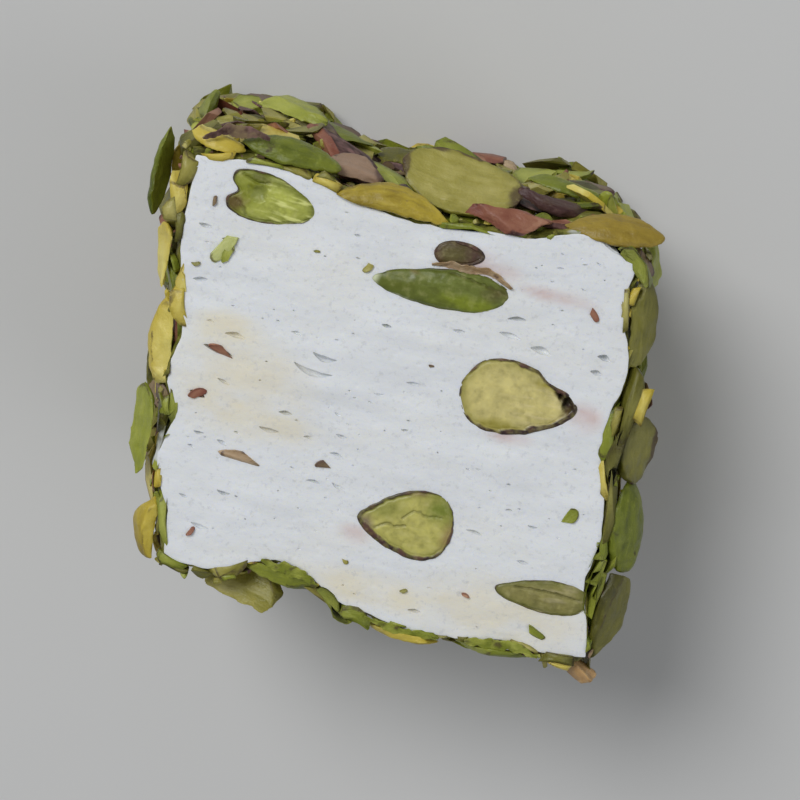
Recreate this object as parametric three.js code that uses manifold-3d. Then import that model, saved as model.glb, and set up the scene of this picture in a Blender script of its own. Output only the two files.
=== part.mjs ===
// One hand-cut square of pistachio Turkish delight: a block of white, nougat-like sweet with whole
// pistachio kernels inside, rolled in slivered pistachio on four sides and sliced from a long bar.
//
// Frame: millimetres, +Z up. The block lies on its lower cut face, which is the plane z = 0, and its
// other cut face looks up. +X runs along the longer side of the cut face and +Y across it. Shapes are
// laid out about the middle of the sweet, and the whole then moves so that the origin is under the
// middle of its outer box.
// The four coated sides are the bottom (-Y), right (+X), top (+Y) and left (-X), in that order round
// the block. A place on a side is given as along (from the side's first corner), height (+Z) and lift
// (outwards from the sweet).
import * as THREE from 'three';
import { mergeVertices } from 'three/addons/utils/BufferGeometryUtils.js';
import Module from 'manifold-3d';

const wasm = await Module();
wasm.setup();

// ---------------------------------------------------------------- driving dimensions

const FACE_WIDTH = 37; // of the cut face, from its left to its right edge
const FACE_HEIGHT = 34; // of the cut face, from its lower to its upper edge
const LEAN = 5; // how far the upper edge stands to the left of the lower one
const DEPTH = 30; // between the two cut faces
const GAP = 0.3; // between pieces that touch
const EDGE_STEP = 2.2; // between two points on the sweet's outline
const KERNEL_DEPTH = 4.2; // how far a kernel reaches into the sweet under a cut face
const KERNEL_FACETS = [18, 6]; // round a kernel and from its top to its bottom
const LOBE_SETBACK = 0.6; // how far a lobed kernel draws in between its lobes, as a share of them
const CLEAR = 2; // by which a cutting prism passes what it cuts

const REACH = 7; // how far out from the sweet a sliver of the coat may reach
const PROUD = 0.8; // how far it may stand past the upper cut face
const SLIVER_FACETS = [8, 5]; // round a sliver and from its one end to its other
const SLIVER_ARCH = 0.07; // how far its middle arches outwards, as a share of its length
const SLIVER_TAPER = 0.25; // by how much its ends are narrower and thinner than its middle
const SLIVER_BELLY = 0.7; // how deep its inner side is against its outer side

const COAT_ROWS = 9;
const COAT_RIM = [0.16, 0.64]; // how far the coat stops short of the cut faces
const COAT_CORNER = 0.7; // of the coat's thickness that is left on the block's corners
const CORNER_SPAN = 2.5; // how far from a corner the coat is thinner
const RIM_SEED = 29;
const LUMP_SEED = 11;
const LUMP_COUNT = 150;
const LUMP_RISE = [0.5, 1.6];
const LUMP_LENGTH = [4, 6.5];
const LUMP_WIDTH = [2.2, 3.4];

const COLOURS = {
  nougat: [0xe9eae6, 0.75],
  coat: [0x8f8f3e, 0.8],
  kernel: [0xb9b268, 0.6],
  green: [0x7f9430, 0.55],
  yellow: [0xc2a844, 0.55],
  olive: [0x77743a, 0.6],
  pale: [0xa9a465, 0.65],
  purple: [0x5c4148, 0.7],
  red: [0x9a5a4c, 0.7],
};

// The sides in order round the block. A swell makes the outline stand out (or in, below zero) at a
// place along the side, and dies away over its span both ways. coat is the thinnest the coat gets.
const corner = (right, upper) =>
  new THREE.Vector2(
    ((right ? 1 : -1) * FACE_WIDTH) / 2 + ((upper ? -1 : 1) * LEAN) / 2,
    ((upper ? 1 : -1) * FACE_HEIGHT) / 2,
  );
const SIDES = {
  bottom: {
    from: corner(false, false),
    to: corner(true, false),
    coat: 0.7,
    swells: [
      { along: 2.8, span: 2.8, out: 0.35 },
      { along: 9.8, span: 6.2, out: -1.9 },
      { along: 22.5, span: 11, out: 1.35 },
      { along: 33.6, span: 3.4, out: 0.6 },
    ],
  },
  right: {
    from: corner(true, false),
    to: corner(true, true),
    coat: 1.3,
    swells: [
      { along: 6, span: 5, out: -0.8 },
      { along: 19, span: 6.5, out: -0.9 },
      { along: 25, span: 3, out: 0.4 },
      { along: 31, span: 3.2, out: -0.7 },
    ],
  },
  top: {
    from: corner(true, true),
    to: corner(false, true),
    coat: 1.2,
    swells: [
      { along: 4.8, span: 4.6, out: 1.5 },
      { along: 18.5, span: 9.5, out: -1.0 },
      { along: 30.5, span: 6.5, out: 0.8 },
    ],
  },
  left: {
    from: corner(false, true),
    to: corner(false, false),
    coat: 1.1,
    swells: [
      { along: 7, span: 6.5, out: 0.7 },
      { along: 18.5, span: 3, out: 1.1 },
      { along: 26, span: 5, out: 1.2 },
    ],
  },
};

// Kernels that show at the upper cut face and at the lower one. A section is length by width, turned
// by turn degrees. tip narrows its +x end, lobes pushes it towards three corners, and a notch is a
// cleft that goes in by a share of the radius, at an angle and over a spread.
const KERNELS = {
  upper: [
    { name: 'corner', at: [-14.4, 14.75], length: 7.9, width: 4.0, turn: -4, tip: 0.25, notch: [0.35, 180, 34] },
    { name: 'long', at: [0.8, 11.1], length: 11.4, width: 3.3, turn: 6, tip: -0.28 },
    { name: 'husk', at: [1.7, 14.2], length: 4.2, width: 2.2, turn: 8, tip: 0.2 },
    { name: 'round', at: [9.5, 3.6], length: 9.8, width: 6.1, turn: 2, tip: 0.34, notch: [0.12, 62, 20] },
    { name: 'pointed', at: [3.1, -9.1], length: 8.1, width: 5.7, turn: 186, tip: 0.42 },
    { name: 'leaf', at: [15.9, -12.5], length: 8.2, width: 2.9, turn: 184, tip: 0.3 },
  ],
  lower: [
    { name: 'teardrop', at: [-10.5, 8.2], length: 9.2, width: 5.4, turn: 68, tip: -0.4 },
    { name: 'heart', at: [11.6, 8.6], length: 6.4, width: 6.2, turn: 30, tip: 0.15, notch: [0.38, 200, 30] },
    { name: 'threeway', at: [4.2, -9.8], length: 6.6, width: 6.4, turn: 95, tip: 0, lobes: 0.26 },
    { name: 'disc', at: [-9.6, -7.4], length: 4.6, width: 4.4, turn: 0, tip: 0.1 },
    { name: 'wedge', at: [0.2, 3.2], length: 6.8, width: 4.1, turn: -50, tip: 0.45 },
  ],
};

// The largest slivers and half kernels of the coat: where the middle lies, and length, width and
// thickness. turn swings the length out of the side's run, towards +Z; roll turns a sliver about its
// length, with its upper edge going out; pitch lifts its far end.
const sliver = (kind, [along, height, lift], [length, width, thick], { turn = 0, roll = 0, pitch = 0 }) => ({
  kind, along, height, lift, length, width, thick, turn, roll, pitch,
});
const SLIVERS = {
  top: [
    sliver('yellow', [2.6, 28.8, 1.2], [8.6, 3.6, 1.3], { turn: 3, roll: -38, pitch: -10 }),
    sliver('green', [6.5, 20.6, 2.2], [6.4, 3.4, 1.2], { turn: -6, roll: -12 }),
    sliver('purple', [7.6, 26.0, 1.9], [6.2, 2.6, 1.2], { turn: 5, roll: -30, pitch: 4 }),
    sliver('red', [10.9, 29.5, 0.8], [7.6, 2.6, 1.3], { turn: 2, roll: -48 }),
    sliver('pale', [15.4, 25.3, 2.9], [10.4, 6.8, 2.8], { turn: -4, roll: -40, pitch: 2 }),
    sliver('yellow', [20.9, 29.2, 0.9], [10.4, 3.3, 1.4], { turn: 3, roll: -42, pitch: -3 }),
    sliver('purple', [24.2, 26.0, 1.7], [4.8, 3.2, 1.1], { turn: 12, roll: -30 }),
    sliver('green', [29.4, 28.8, 1.0], [8.4, 3.4, 1.4], { turn: 4, roll: -34, pitch: 2 }),
    sliver('yellow', [35.4, 28.9, 1.1], [4.6, 2.4, 1.2], { turn: 0, roll: -38, pitch: 6 }),
    sliver('olive', [18.2, 10.4, 2.0], [9.4, 4.4, 1.5], { turn: 24, roll: -10 }),
    sliver('green', [30.2, 13.0, 2.0], [8.4, 3.8, 1.4], { turn: -52, roll: -6 }),
  ],
  left: [
    sliver('green', [2.1, 27.2, 2.5], [7.4, 3.0, 1.4], { turn: 2, roll: 24, pitch: 8 }),
    sliver('yellow', [8.6, 28.7, 1.0], [5.4, 2.6, 1.2], { turn: -3, roll: -30 }),
    sliver('yellow', [16.0, 28.5, 1.5], [7.4, 3.2, 1.5], { turn: 4, roll: -40, pitch: -4 }),
    sliver('green', [23.6, 28.5, 1.5], [8.0, 3.4, 1.5], { turn: -2, roll: -36, pitch: 4 }),
    sliver('yellow', [32.2, 28.4, 1.7], [5.6, 3.4, 1.8], { turn: 2, roll: -34 }),
    sliver('pale', [10.4, 14.0, 2.1], [9.6, 5.0, 1.7], { turn: 38, roll: -8 }),
    sliver('olive', [25.0, 9.6, 2.0], [9.0, 4.0, 1.5], { turn: -20, roll: 6 }),
  ],
  bottom: [
    sliver('green', [11.0, 29.1, 0.9], [9.2, 3.2, 1.3], { turn: -3, roll: -44 }),
    sliver('yellow', [7.2, 27.0, 2.4], [7.2, 4.6, 1.4], { turn: 14, roll: 52, pitch: 4 }),
    sliver('yellow', [21.4, 29.1, 0.5], [6.4, 2.4, 1.2], { turn: 2, roll: -20 }),
    sliver('green', [29.0, 29.0, 0.8], [8.2, 2.6, 1.1], { turn: -2, roll: -16 }),
    sliver('red', [36.9, 28.2, 1.6], [3.4, 2.6, 2.0], { turn: 0, roll: 10, pitch: 30 }),
    sliver('olive', [13.6, 14.4, 1.6], [9.4, 4.0, 1.4], { turn: 34, roll: -4 }),
    sliver('pale', [27.4, 11.8, 1.6], [8.6, 4.6, 1.5], { turn: -38, roll: 6 }),
  ],
  right: [
    sliver('olive', [3.6, 28.2, 2.0], [8.0, 4.4, 1.6], { turn: 3, roll: -46, pitch: 4 }),
    sliver('green', [11.4, 28.1, 2.0], [8.8, 4.6, 1.7], { turn: -3, roll: -44, pitch: -3 }),
    sliver('pale', [18.2, 27.2, 2.5], [6.0, 4.8, 2.8], { turn: 0, roll: -50 }),
    sliver('olive', [29.6, 28.5, 1.4], [8.0, 3.4, 1.4], { turn: 2, roll: -40 }),
    sliver('green', [33.8, 24.8, 1.4], [6.0, 3.6, 1.4], { turn: 8, roll: -26, pitch: -16 }),
    sliver('purple', [22.6, 13.6, 2.1], [8.4, 3.8, 1.4], { turn: -48, roll: 6 }),
    sliver('yellow', [8.6, 10.4, 2.1], [9.0, 4.0, 1.4], { turn: 26, roll: -6 }),
  ],
};

// ---------------------------------------------------------------- helpers

const radians = THREE.MathUtils.degToRad;
const lerp = THREE.MathUtils.lerp;
const UP = new THREE.Vector3(0, 0, 1);

// A seeded run of numbers from 0 to 1.
function randomRun(seed) {
  let state = seed;
  return () => {
    state = (state * 1664525 + 1013904223) % 4294967296;
    return state / 4294967296;
  };
}

// One soft hump: 1 at zero, falling to 0 at a distance of one span.
const hump = (distance, span) =>
  Math.abs(distance) < span ? Math.cos((distance / span) * (Math.PI / 2)) ** 2 : 0;

function solidFrom(geometry) {
  const bare = new THREE.BufferGeometry();
  bare.setIndex(geometry.index);
  bare.setAttribute('position', geometry.getAttribute('position'));
  const merged = mergeVertices(bare, 1e-4);
  return new wasm.Manifold(
    new wasm.Mesh({
      numProp: 3,
      vertProperties: new Float32Array(merged.attributes.position.array),
      triVerts: new Uint32Array(merged.index.array),
    }),
  );
}

function geometryFrom(solid) {
  const mesh = solid.getMesh();
  const geometry = new THREE.BufferGeometry();
  geometry.setAttribute('position', new THREE.BufferAttribute(mesh.vertProperties, 3));
  geometry.setIndex(new THREE.BufferAttribute(mesh.triVerts, 1));
  geometry.computeVertexNormals();
  return geometry;
}

// The largest body of a solid, without the crumbs that a cut can leave.
function largestBody(solid) {
  return solid.decompose().reduce((best, body) => (body.volume() > best.volume() ? body : best));
}

// Moves every vertex of a geometry to where the function puts it.
function reshape(geometry, place) {
  const position = geometry.getAttribute('position');
  const point = new THREE.Vector3();
  for (let i = 0; i < position.count; i++) {
    point.fromBufferAttribute(position, i);
    place(point);
    position.setXYZ(i, point.x, point.y, point.z);
  }
  return geometry;
}

function pieceOf(name, solid, colour) {
  const [color, roughness] = COLOURS[colour];
  const material = new THREE.MeshStandardMaterial({ color, roughness, metalness: 0 });
  const mesh = new THREE.Mesh(geometryFrom(solid), material);
  mesh.name = name;
  return mesh;
}

// ---------------------------------------------------------------- the sweet's outline

const sideLength = (side) => side.from.distanceTo(side.to);
const sideRun = (side) => side.to.clone().sub(side.from).normalize();
const sideNormal = (side) => new THREE.Vector2(sideRun(side).y, -sideRun(side).x);

// The point of a side at a place along it, moved outwards from the swollen outline.
function sidePoint(side, along, lift) {
  const swell = side.swells.reduce((sum, s) => sum + s.out * hump(along - s.along, s.span), 0);
  return side.from
    .clone()
    .addScaledVector(sideRun(side), along)
    .addScaledVector(sideNormal(side), swell + lift);
}

// The outline all round: its points, each with its outward direction, its place along the whole
// outline and its own side.
function walkOutline() {
  const walk = [];
  let start = 0;
  for (const side of Object.values(SIDES)) {
    const length = sideLength(side);
    const steps = Math.round(length / EDGE_STEP);
    for (let i = 0; i < steps; i++) {
      const along = (i / steps) * length;
      const toCorner = Math.min(along, length - along);
      walk.push({ side, at: sidePoint(side, along, 0), toCorner, run: start + along });
    }
    start += length;
  }
  walk.forEach((stop, i) => {
    const before = walk[(i + walk.length - 1) % walk.length].at;
    const after = walk[(i + 1) % walk.length].at;
    const step = after.clone().sub(before).normalize();
    stop.out = new THREE.Vector2(step.y, -step.x);
  });
  return { walk, round: start };
}

const OUTLINE = walkOutline();

// A prism over the outline grown by some clearance.
function outlinePrism(grown, low, high) {
  const points = OUTLINE.walk.map(({ at, out }) => at.clone().addScaledVector(out, grown));
  const prism = new THREE.ExtrudeGeometry(new THREE.Shape(points), { depth: high - low, bevelEnabled: false });
  return solidFrom(prism.translate(0, 0, low));
}

// ---------------------------------------------------------------- kernels in the cut faces

// How far a kernel's section reaches at an angle, as a share of its half length and half width.
function kernelReach({ lobes = 0, notch = [0, 0, 1] }, angle) {
  const [cleft, middle, spread] = notch;
  const away = THREE.MathUtils.euclideanModulo(THREE.MathUtils.radToDeg(angle) - middle + 180, 360) - 180;
  return (1 + lobes * (Math.cos(3 * angle) - LOBE_SETBACK)) * (1 - cleft * hump(away, spread));
}

// A kernel centred on a cut face, grown by some clearance; its half past the face is cut off later.
function kernelSolid(kernel, height, grown) {
  const { at, length, width, turn, tip } = kernel;
  const nut = new THREE.SphereGeometry(1, ...KERNEL_FACETS).rotateX(Math.PI / 2);
  reshape(nut, (point) => {
    const reach = kernelReach(kernel, Math.atan2(point.y, point.x));
    const narrowing = 1 - tip * point.x;
    point.set(
      point.x * (reach * (length / 2) + grown),
      point.y * (reach * narrowing * (width / 2) + grown),
      point.z * (KERNEL_DEPTH + grown),
    );
  });
  nut.rotateZ(radians(turn)).translate(at[0], at[1], height);
  return solidFrom(nut);
}

// ---------------------------------------------------------------- slivers and the coat

// A sliver is a flat, pointed boat: broad across, thin through, with its middle arched outwards.
function sliverSolid(side, { along, height, lift, length, width, thick, turn, roll, pitch }, grown) {
  const arch = SLIVER_ARCH * length;
  const boat = new THREE.SphereGeometry(1, ...SLIVER_FACETS).rotateZ(Math.PI / 2);
  reshape(boat, (point) => {
    const fullness = 1 - SLIVER_TAPER * point.x * point.x;
    const belly = point.z < 0 ? SLIVER_BELLY : 1;
    point.set(
      point.x * (length / 2 + grown),
      point.y * (fullness * (width / 2) + grown),
      point.z * (fullness * belly * (thick / 2) + grown) + arch * (0.5 - point.x * point.x),
    );
  });
  boat.rotateX(radians(roll)).rotateY(radians(-pitch)).rotateZ(radians(turn));
  const place = sidePoint(side, along, lift);
  const run = sideRun(side);
  const normal = sideNormal(side);
  boat.applyMatrix4(
    new THREE.Matrix4().makeBasis(new THREE.Vector3(run.x, run.y, 0), UP, new THREE.Vector3(normal.x, normal.y, 0)),
  );
  return solidFrom(boat.translate(place.x, place.y, height));
}

// The coat's relief: slivers too many to be pieces of their own, as soft humps in seeded places.
function coatRelief() {
  const random = randomRun(LUMP_SEED);
  const between = ([low, high]) => lerp(low, high, random());
  const lumps = Array.from({ length: LUMP_COUNT }, () => ({
    run: random() * OUTLINE.round,
    height: random() * DEPTH,
    angle: random() * Math.PI,
    rise: between(LUMP_RISE),
    length: between(LUMP_LENGTH),
    width: between(LUMP_WIDTH),
  }));
  return (run, height) =>
    lumps.reduce((highest, lump) => {
      const x = THREE.MathUtils.euclideanModulo(run - lump.run + OUTLINE.round / 2, OUTLINE.round) - OUTLINE.round / 2;
      const y = height - lump.height;
      const lengthways = x * Math.cos(lump.angle) + y * Math.sin(lump.angle);
      const across = y * Math.cos(lump.angle) - x * Math.sin(lump.angle);
      return Math.max(highest, lump.rise * hump(lengthways, lump.length) * hump(across, lump.width));
    }, 0);
}

// The coat is a sleeve: at every stop round the outline a loop that goes up its outer face, over its
// rim and down its inner face.
function coatSolid() {
  const { walk } = OUTLINE;
  const relief = coatRelief();
  const random = randomRun(RIM_SEED);
  const loop = COAT_ROWS + 3;
  const positions = [];
  for (const stop of walk) {
    const low = lerp(...COAT_RIM, random());
    const high = DEPTH - lerp(...COAT_RIM, random());
    const thinning = lerp(1, COAT_CORNER, hump(stop.toCorner, CORNER_SPAN));
    const put = (out, height) => {
      const place = stop.at.clone().addScaledVector(stop.out, GAP + out);
      positions.push(place.x, place.y, height);
    };
    for (let row = 0; row <= COAT_ROWS; row++) {
      const height = lerp(low, high, row / COAT_ROWS);
      put(thinning * (stop.side.coat + relief(stop.run, height)), height);
    }
    put(0, high);
    put(0, low);
  }
  const index = [];
  for (let column = 0; column < walk.length; column++) {
    for (let row = 0; row < loop; row++) {
      const a = column * loop + row;
      const b = column * loop + ((row + 1) % loop);
      const c = ((column + 1) % walk.length) * loop + ((row + 1) % loop);
      const d = ((column + 1) % walk.length) * loop + row;
      index.push(a, d, c, a, c, b);
    }
  }
  const sleeve = new THREE.BufferGeometry();
  sleeve.setAttribute('position', new THREE.Float32BufferAttribute(positions, 3));
  sleeve.setIndex(index);
  return solidFrom(sleeve);
}

// ---------------------------------------------------------------- the pieces

const sweet = new THREE.Group();
const body = outlinePrism(0, 0, DEPTH);

let nougat = body;
for (const [face, height] of Object.entries({ upper: DEPTH, lower: 0 })) {
  let taken = null;
  for (const kernel of KERNELS[face]) {
    const pocket = kernelSolid(kernel, height, GAP);
    nougat = nougat.subtract(pocket);
    let nut = kernelSolid(kernel, height, 0).intersect(body);
    if (taken) nut = nut.subtract(taken);
    taken = taken ? taken.add(pocket) : pocket;
    sweet.add(pieceOf(`kernel_${face}_${kernel.name}`, largestBody(nut), 'kernel'));
  }
}
sweet.add(pieceOf('nougat', largestBody(nougat), 'nougat'));

const room = outlinePrism(REACH, GAP, DEPTH + PROUD).subtract(outlinePrism(GAP, -CLEAR, DEPTH + CLEAR));
let coat = coatSolid();
let taken = null;
for (const [name, side] of Object.entries(SIDES)) {
  SLIVERS[name].forEach((piece, index) => {
    const bed = sliverSolid(side, piece, GAP);
    coat = coat.subtract(bed);
    let solid = sliverSolid(side, piece, 0).intersect(room);
    if (taken) solid = solid.subtract(taken);
    taken = taken ? taken.add(bed) : bed;
    sweet.add(pieceOf(`sliver_${name}_${index + 1}_${piece.kind}`, largestBody(solid), piece.kind));
  });
}
sweet.add(pieceOf('coat', largestBody(coat), 'coat'));

const middle = new THREE.Box3().setFromObject(sweet).getCenter(new THREE.Vector3());
sweet.position.set(-middle.x, -middle.y, 0);

export default sweet;
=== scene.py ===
"""Dresses one hand-cut square of pistachio Turkish delight.

The white sweet gets its cut faces, air bubbles and kernel pockets, the kernels their skins and cracks,
and the coat is built up from slivers, chips and crumbs that rest on each other.
"""

import math
import random

import bpy
import numpy as np
from bpy.props import FloatProperty, FloatVectorProperty, IntProperty, PointerProperty
from bpy.types import Operator, Panel, PropertyGroup
from mathutils import Matrix, Vector, noise


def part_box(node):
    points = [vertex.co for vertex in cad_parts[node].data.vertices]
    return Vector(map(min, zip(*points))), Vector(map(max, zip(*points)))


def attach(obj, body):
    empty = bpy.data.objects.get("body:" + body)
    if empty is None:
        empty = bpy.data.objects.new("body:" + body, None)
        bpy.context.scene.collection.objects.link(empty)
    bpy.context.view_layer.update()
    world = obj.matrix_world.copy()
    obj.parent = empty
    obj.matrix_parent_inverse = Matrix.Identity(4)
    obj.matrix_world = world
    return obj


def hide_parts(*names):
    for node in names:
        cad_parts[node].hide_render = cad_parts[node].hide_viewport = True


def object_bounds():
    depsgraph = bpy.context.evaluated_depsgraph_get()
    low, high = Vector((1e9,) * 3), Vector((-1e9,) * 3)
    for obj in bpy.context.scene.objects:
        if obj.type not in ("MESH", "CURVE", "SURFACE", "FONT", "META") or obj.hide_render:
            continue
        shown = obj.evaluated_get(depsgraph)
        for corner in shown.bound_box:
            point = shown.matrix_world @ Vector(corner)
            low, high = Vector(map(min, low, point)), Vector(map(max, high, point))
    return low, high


bl_info = {
    "name": "Pistachio Turkish delight",
    "version": (1, 0, 0),
    "blender": (4, 5, 0),
    "location": "View3D > Sidebar > Sweet",
    "description": "Models a square of pistachio-coated Turkish delight over its CAD solids",
    "category": "Object",
}

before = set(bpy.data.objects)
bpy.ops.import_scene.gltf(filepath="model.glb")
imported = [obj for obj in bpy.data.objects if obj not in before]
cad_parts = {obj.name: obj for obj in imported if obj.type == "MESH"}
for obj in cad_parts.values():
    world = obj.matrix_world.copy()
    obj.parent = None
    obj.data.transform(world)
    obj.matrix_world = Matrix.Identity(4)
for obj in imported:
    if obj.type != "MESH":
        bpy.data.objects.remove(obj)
CAD_BOX = [list(corner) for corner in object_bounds()]

MM = 0.001
BASE, TOP = (corner.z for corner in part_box("nougat"))
SIDE_NAMES = ("bottom", "right", "top", "left")


# ------------------------------------------------------------------ sizes and colours


def length_property(name, description, default):
    """A size in metres, given in millimetres."""
    return FloatProperty(
        name=name, description=description, default=default * MM, min=0, precision=5, unit="LENGTH"
    )


def colour_property(name, description, default):
    """A colour given as red, green and blue from 0 to 255, as a screen shows it."""
    return FloatVectorProperty(
        name=name,
        description=description,
        default=[screen_to_linear(value) for value in default],
        size=3,
        min=0,
        max=1,
        subtype="COLOR",
    )


def screen_to_linear(value):
    """A screen value from 0 to 255 as linear light."""
    share = value / 255
    return share / 12.92 if share <= 0.04045 else ((share + 0.055) / 1.055) ** 2.4


class SweetSizes(PropertyGroup):
    """Sizes of the white sweet and its kernels."""

    edge_round: length_property("Edge rounding", "How far the knife's edges are worn round", 0.3)
    face_wave: length_property("Face unevenness", "How far the cut faces depart from flat", 0.16)
    bubble_length: length_property("Bubble length", "Length of a middling air bubble", 0.8)
    bubble_count: IntProperty(name="Bubbles", description="Small air bubbles in each cut face", default=125)
    pocket_gap: length_property("Pocket gap", "Gap between a kernel and the sweet", 0.05)
    skin_width: length_property("Skin width", "Width of the kernels' dark skin at the cut", 0.24)


class CoatSizes(PropertyGroup):
    """Sizes of the pistachio coat."""

    core: length_property("Core", "Thickness of the crumbs pressed into the sweet", 0.35)
    length: length_property("Sliver length", "Length of a middling sliver", 5.3)
    width: length_property("Sliver width", "Width of a middling sliver", 3.0)
    thickness: length_property("Sliver thickness", "Thickness of a middling sliver", 1.1)
    overhang: length_property("Overhang", "How far loose slivers may stand past the coat's solid", 0.3)
    slivers: IntProperty(name="Slivers", description="Slivers in each of the two layers", default=290)
    cut_slivers: IntProperty(name="Cut slivers", description="Slivers cut through by the knife", default=75)
    flakes: IntProperty(name="Skin flakes", description="Papery flakes of skin", default=90)
    chips: IntProperty(name="Chips", description="Small chips between the slivers", default=360)
    crumbs: IntProperty(name="Crumbs", description="Crumbs between the chips", default=1200)


class SweetColours(PropertyGroup):
    """Colours of the sweet and the pistachio skin."""

    white: colour_property("White", "The sweet", (233, 236, 238))
    cream: colour_property("Cream", "Creamy streaks in the sweet", (232, 224, 198))
    skin: colour_property("Skin", "The pistachio's purple-brown skin", (58, 36, 34))
    skin_pale: colour_property("Pale skin", "The same skin where it is dry", (138, 104, 100))


class StageSizes(PropertyGroup):
    """The camera, lights and floor."""

    distance: length_property("Camera distance", "From the camera to the upper cut face", 185)
    view_width: length_property("View width", "Width of the view at the upper cut face", 66)
    key_power: FloatProperty(name="Key light", description="Power of the main light", default=5.8, unit="POWER")
    floor_colour: colour_property("Floor", "The floor", (206, 206, 205))


SETTINGS = {
    "sweet_sizes": SweetSizes,
    "sweet_coat": CoatSizes,
    "sweet_colours": SweetColours,
    "sweet_stage": StageSizes,
}


# ------------------------------------------------------------------ mesh helpers


def deselect():
    """Leaves nothing selected, so that an operator only acts on what is made next."""
    if bpy.context.mode != "OBJECT":
        bpy.ops.object.mode_set(mode="OBJECT")
    bpy.ops.object.select_all(action="DESELECT")


def start_piece(name, add, **settings):
    """Adds a primitive as a new piece and returns its object."""
    deselect()
    add(**settings)
    piece = bpy.context.active_object
    piece.name = name
    piece.data.name = name
    return piece


def make_active(piece):
    deselect()
    piece.select_set(True)
    bpy.context.view_layer.objects.active = piece


def read_points(mesh):
    """A mesh's vertices as rows of x, y, z."""
    points = np.empty(len(mesh.vertices) * 3)
    mesh.vertices.foreach_get("co", points)
    return points.reshape(-1, 3)


def write_points(mesh, points):
    mesh.vertices.foreach_set("co", np.asarray(points, float).ravel())
    mesh.update()


def set_attribute(mesh, name, values, domain="POINT"):
    """Stores one number, or one vector, for each vertex or each face."""
    values = np.asarray(values, float)
    kind = "FLOAT" if values.ndim == 1 else "FLOAT_VECTOR"
    layer = mesh.attributes.new(name, kind, domain)
    layer.data.foreach_set("value" if kind == "FLOAT" else "vector", values.ravel())


def faces_of(mesh):
    return [tuple(face.vertices) for face in mesh.polygons]


def piece_from(name, points, faces):
    """A new piece from finished points and faces."""
    mesh = bpy.data.meshes.new(name)
    mesh.from_pydata([tuple(point) for point in points], [], faces)
    mesh.update()
    piece = bpy.data.objects.new(name, mesh)
    bpy.context.scene.collection.objects.link(piece)
    return piece


def finish_piece(piece, material, replaced=(), crease=40):
    """Smooths a piece, gives it its material, and rides it on the sweet."""
    make_active(piece)
    bpy.ops.object.shade_smooth_by_angle(angle=math.radians(crease))
    piece.data.materials.clear()
    piece.data.materials.append(material)
    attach(piece, "root")
    if replaced:
        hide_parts(*replaced)
    return piece


def wrinkle(points, size, seed, octaves=3):
    """Soft noise from about -1 to 1 at each point, with lumps of a given size."""
    shift = Vector((seed * 7.13, seed * 3.71, seed * 1.97))
    return np.array(
        [noise.fractal(Vector(point) / size + shift, 1.0, 2.0, octaves) for point in points]
    )


# ------------------------------------------------------------------ the sweet's outline


def catmull(points, count, closed):
    """Points spaced evenly along a smooth curve through the given ones."""
    points = np.asarray(points, float)
    before, after = (points[-1], points[:2]) if closed else (2 * points[0] - points[1], None)
    if closed:
        chain = np.vstack([before, points, after])
    else:
        chain = np.vstack([before, points, 2 * points[-1] - points[-2]])
    dense = []
    steps = np.linspace(0, 1, 12, endpoint=False)[:, None]
    for a, b, c, d in zip(chain, chain[1:], chain[2:], chain[3:]):
        dense.append(
            0.5
            * (
                2 * b
                + (c - a) * steps
                + (2 * a - 5 * b + 4 * c - d) * steps**2
                + (3 * b - a - 3 * c + d) * steps**3
            )
        )
    dense = np.vstack(dense + [points[:1] if closed else points[-1:]])
    return resample(dense, count, closed)


def resample(line, count, closed):
    run = np.concatenate([[0], np.cumsum(np.linalg.norm(np.diff(line, axis=0), axis=1))])
    stops = np.linspace(0, run[-1], count, endpoint=not closed)
    return np.column_stack([np.interp(stops, run, line[:, axis]) for axis in range(line.shape[1])])


def read_sides():
    """The four sides of the sweet, each as the points of its edge from corner to corner."""
    points = read_points(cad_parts["nougat"].data)
    rings = [
        {tuple(np.round(p[:2], 6)) for p in points if abs(p[2] - height) < 1e-5} for height in (BASE, TOP)
    ]
    ring = np.array(sorted(rings[0] & rings[1], key=lambda p: math.atan2(p[1], p[0])))
    corners = [int(np.argmax(ring @ np.array(way))) for way in ((-1, -1), (1, -1), (1, 1), (-1, 1))]
    sides = {}
    for name, start, end in zip(SIDE_NAMES, corners, corners[1:] + corners[:1]):
        stop = end if end > start else end + len(ring)
        sides[name] = ring[np.arange(start, stop + 1) % len(ring)]
    return sides


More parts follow.
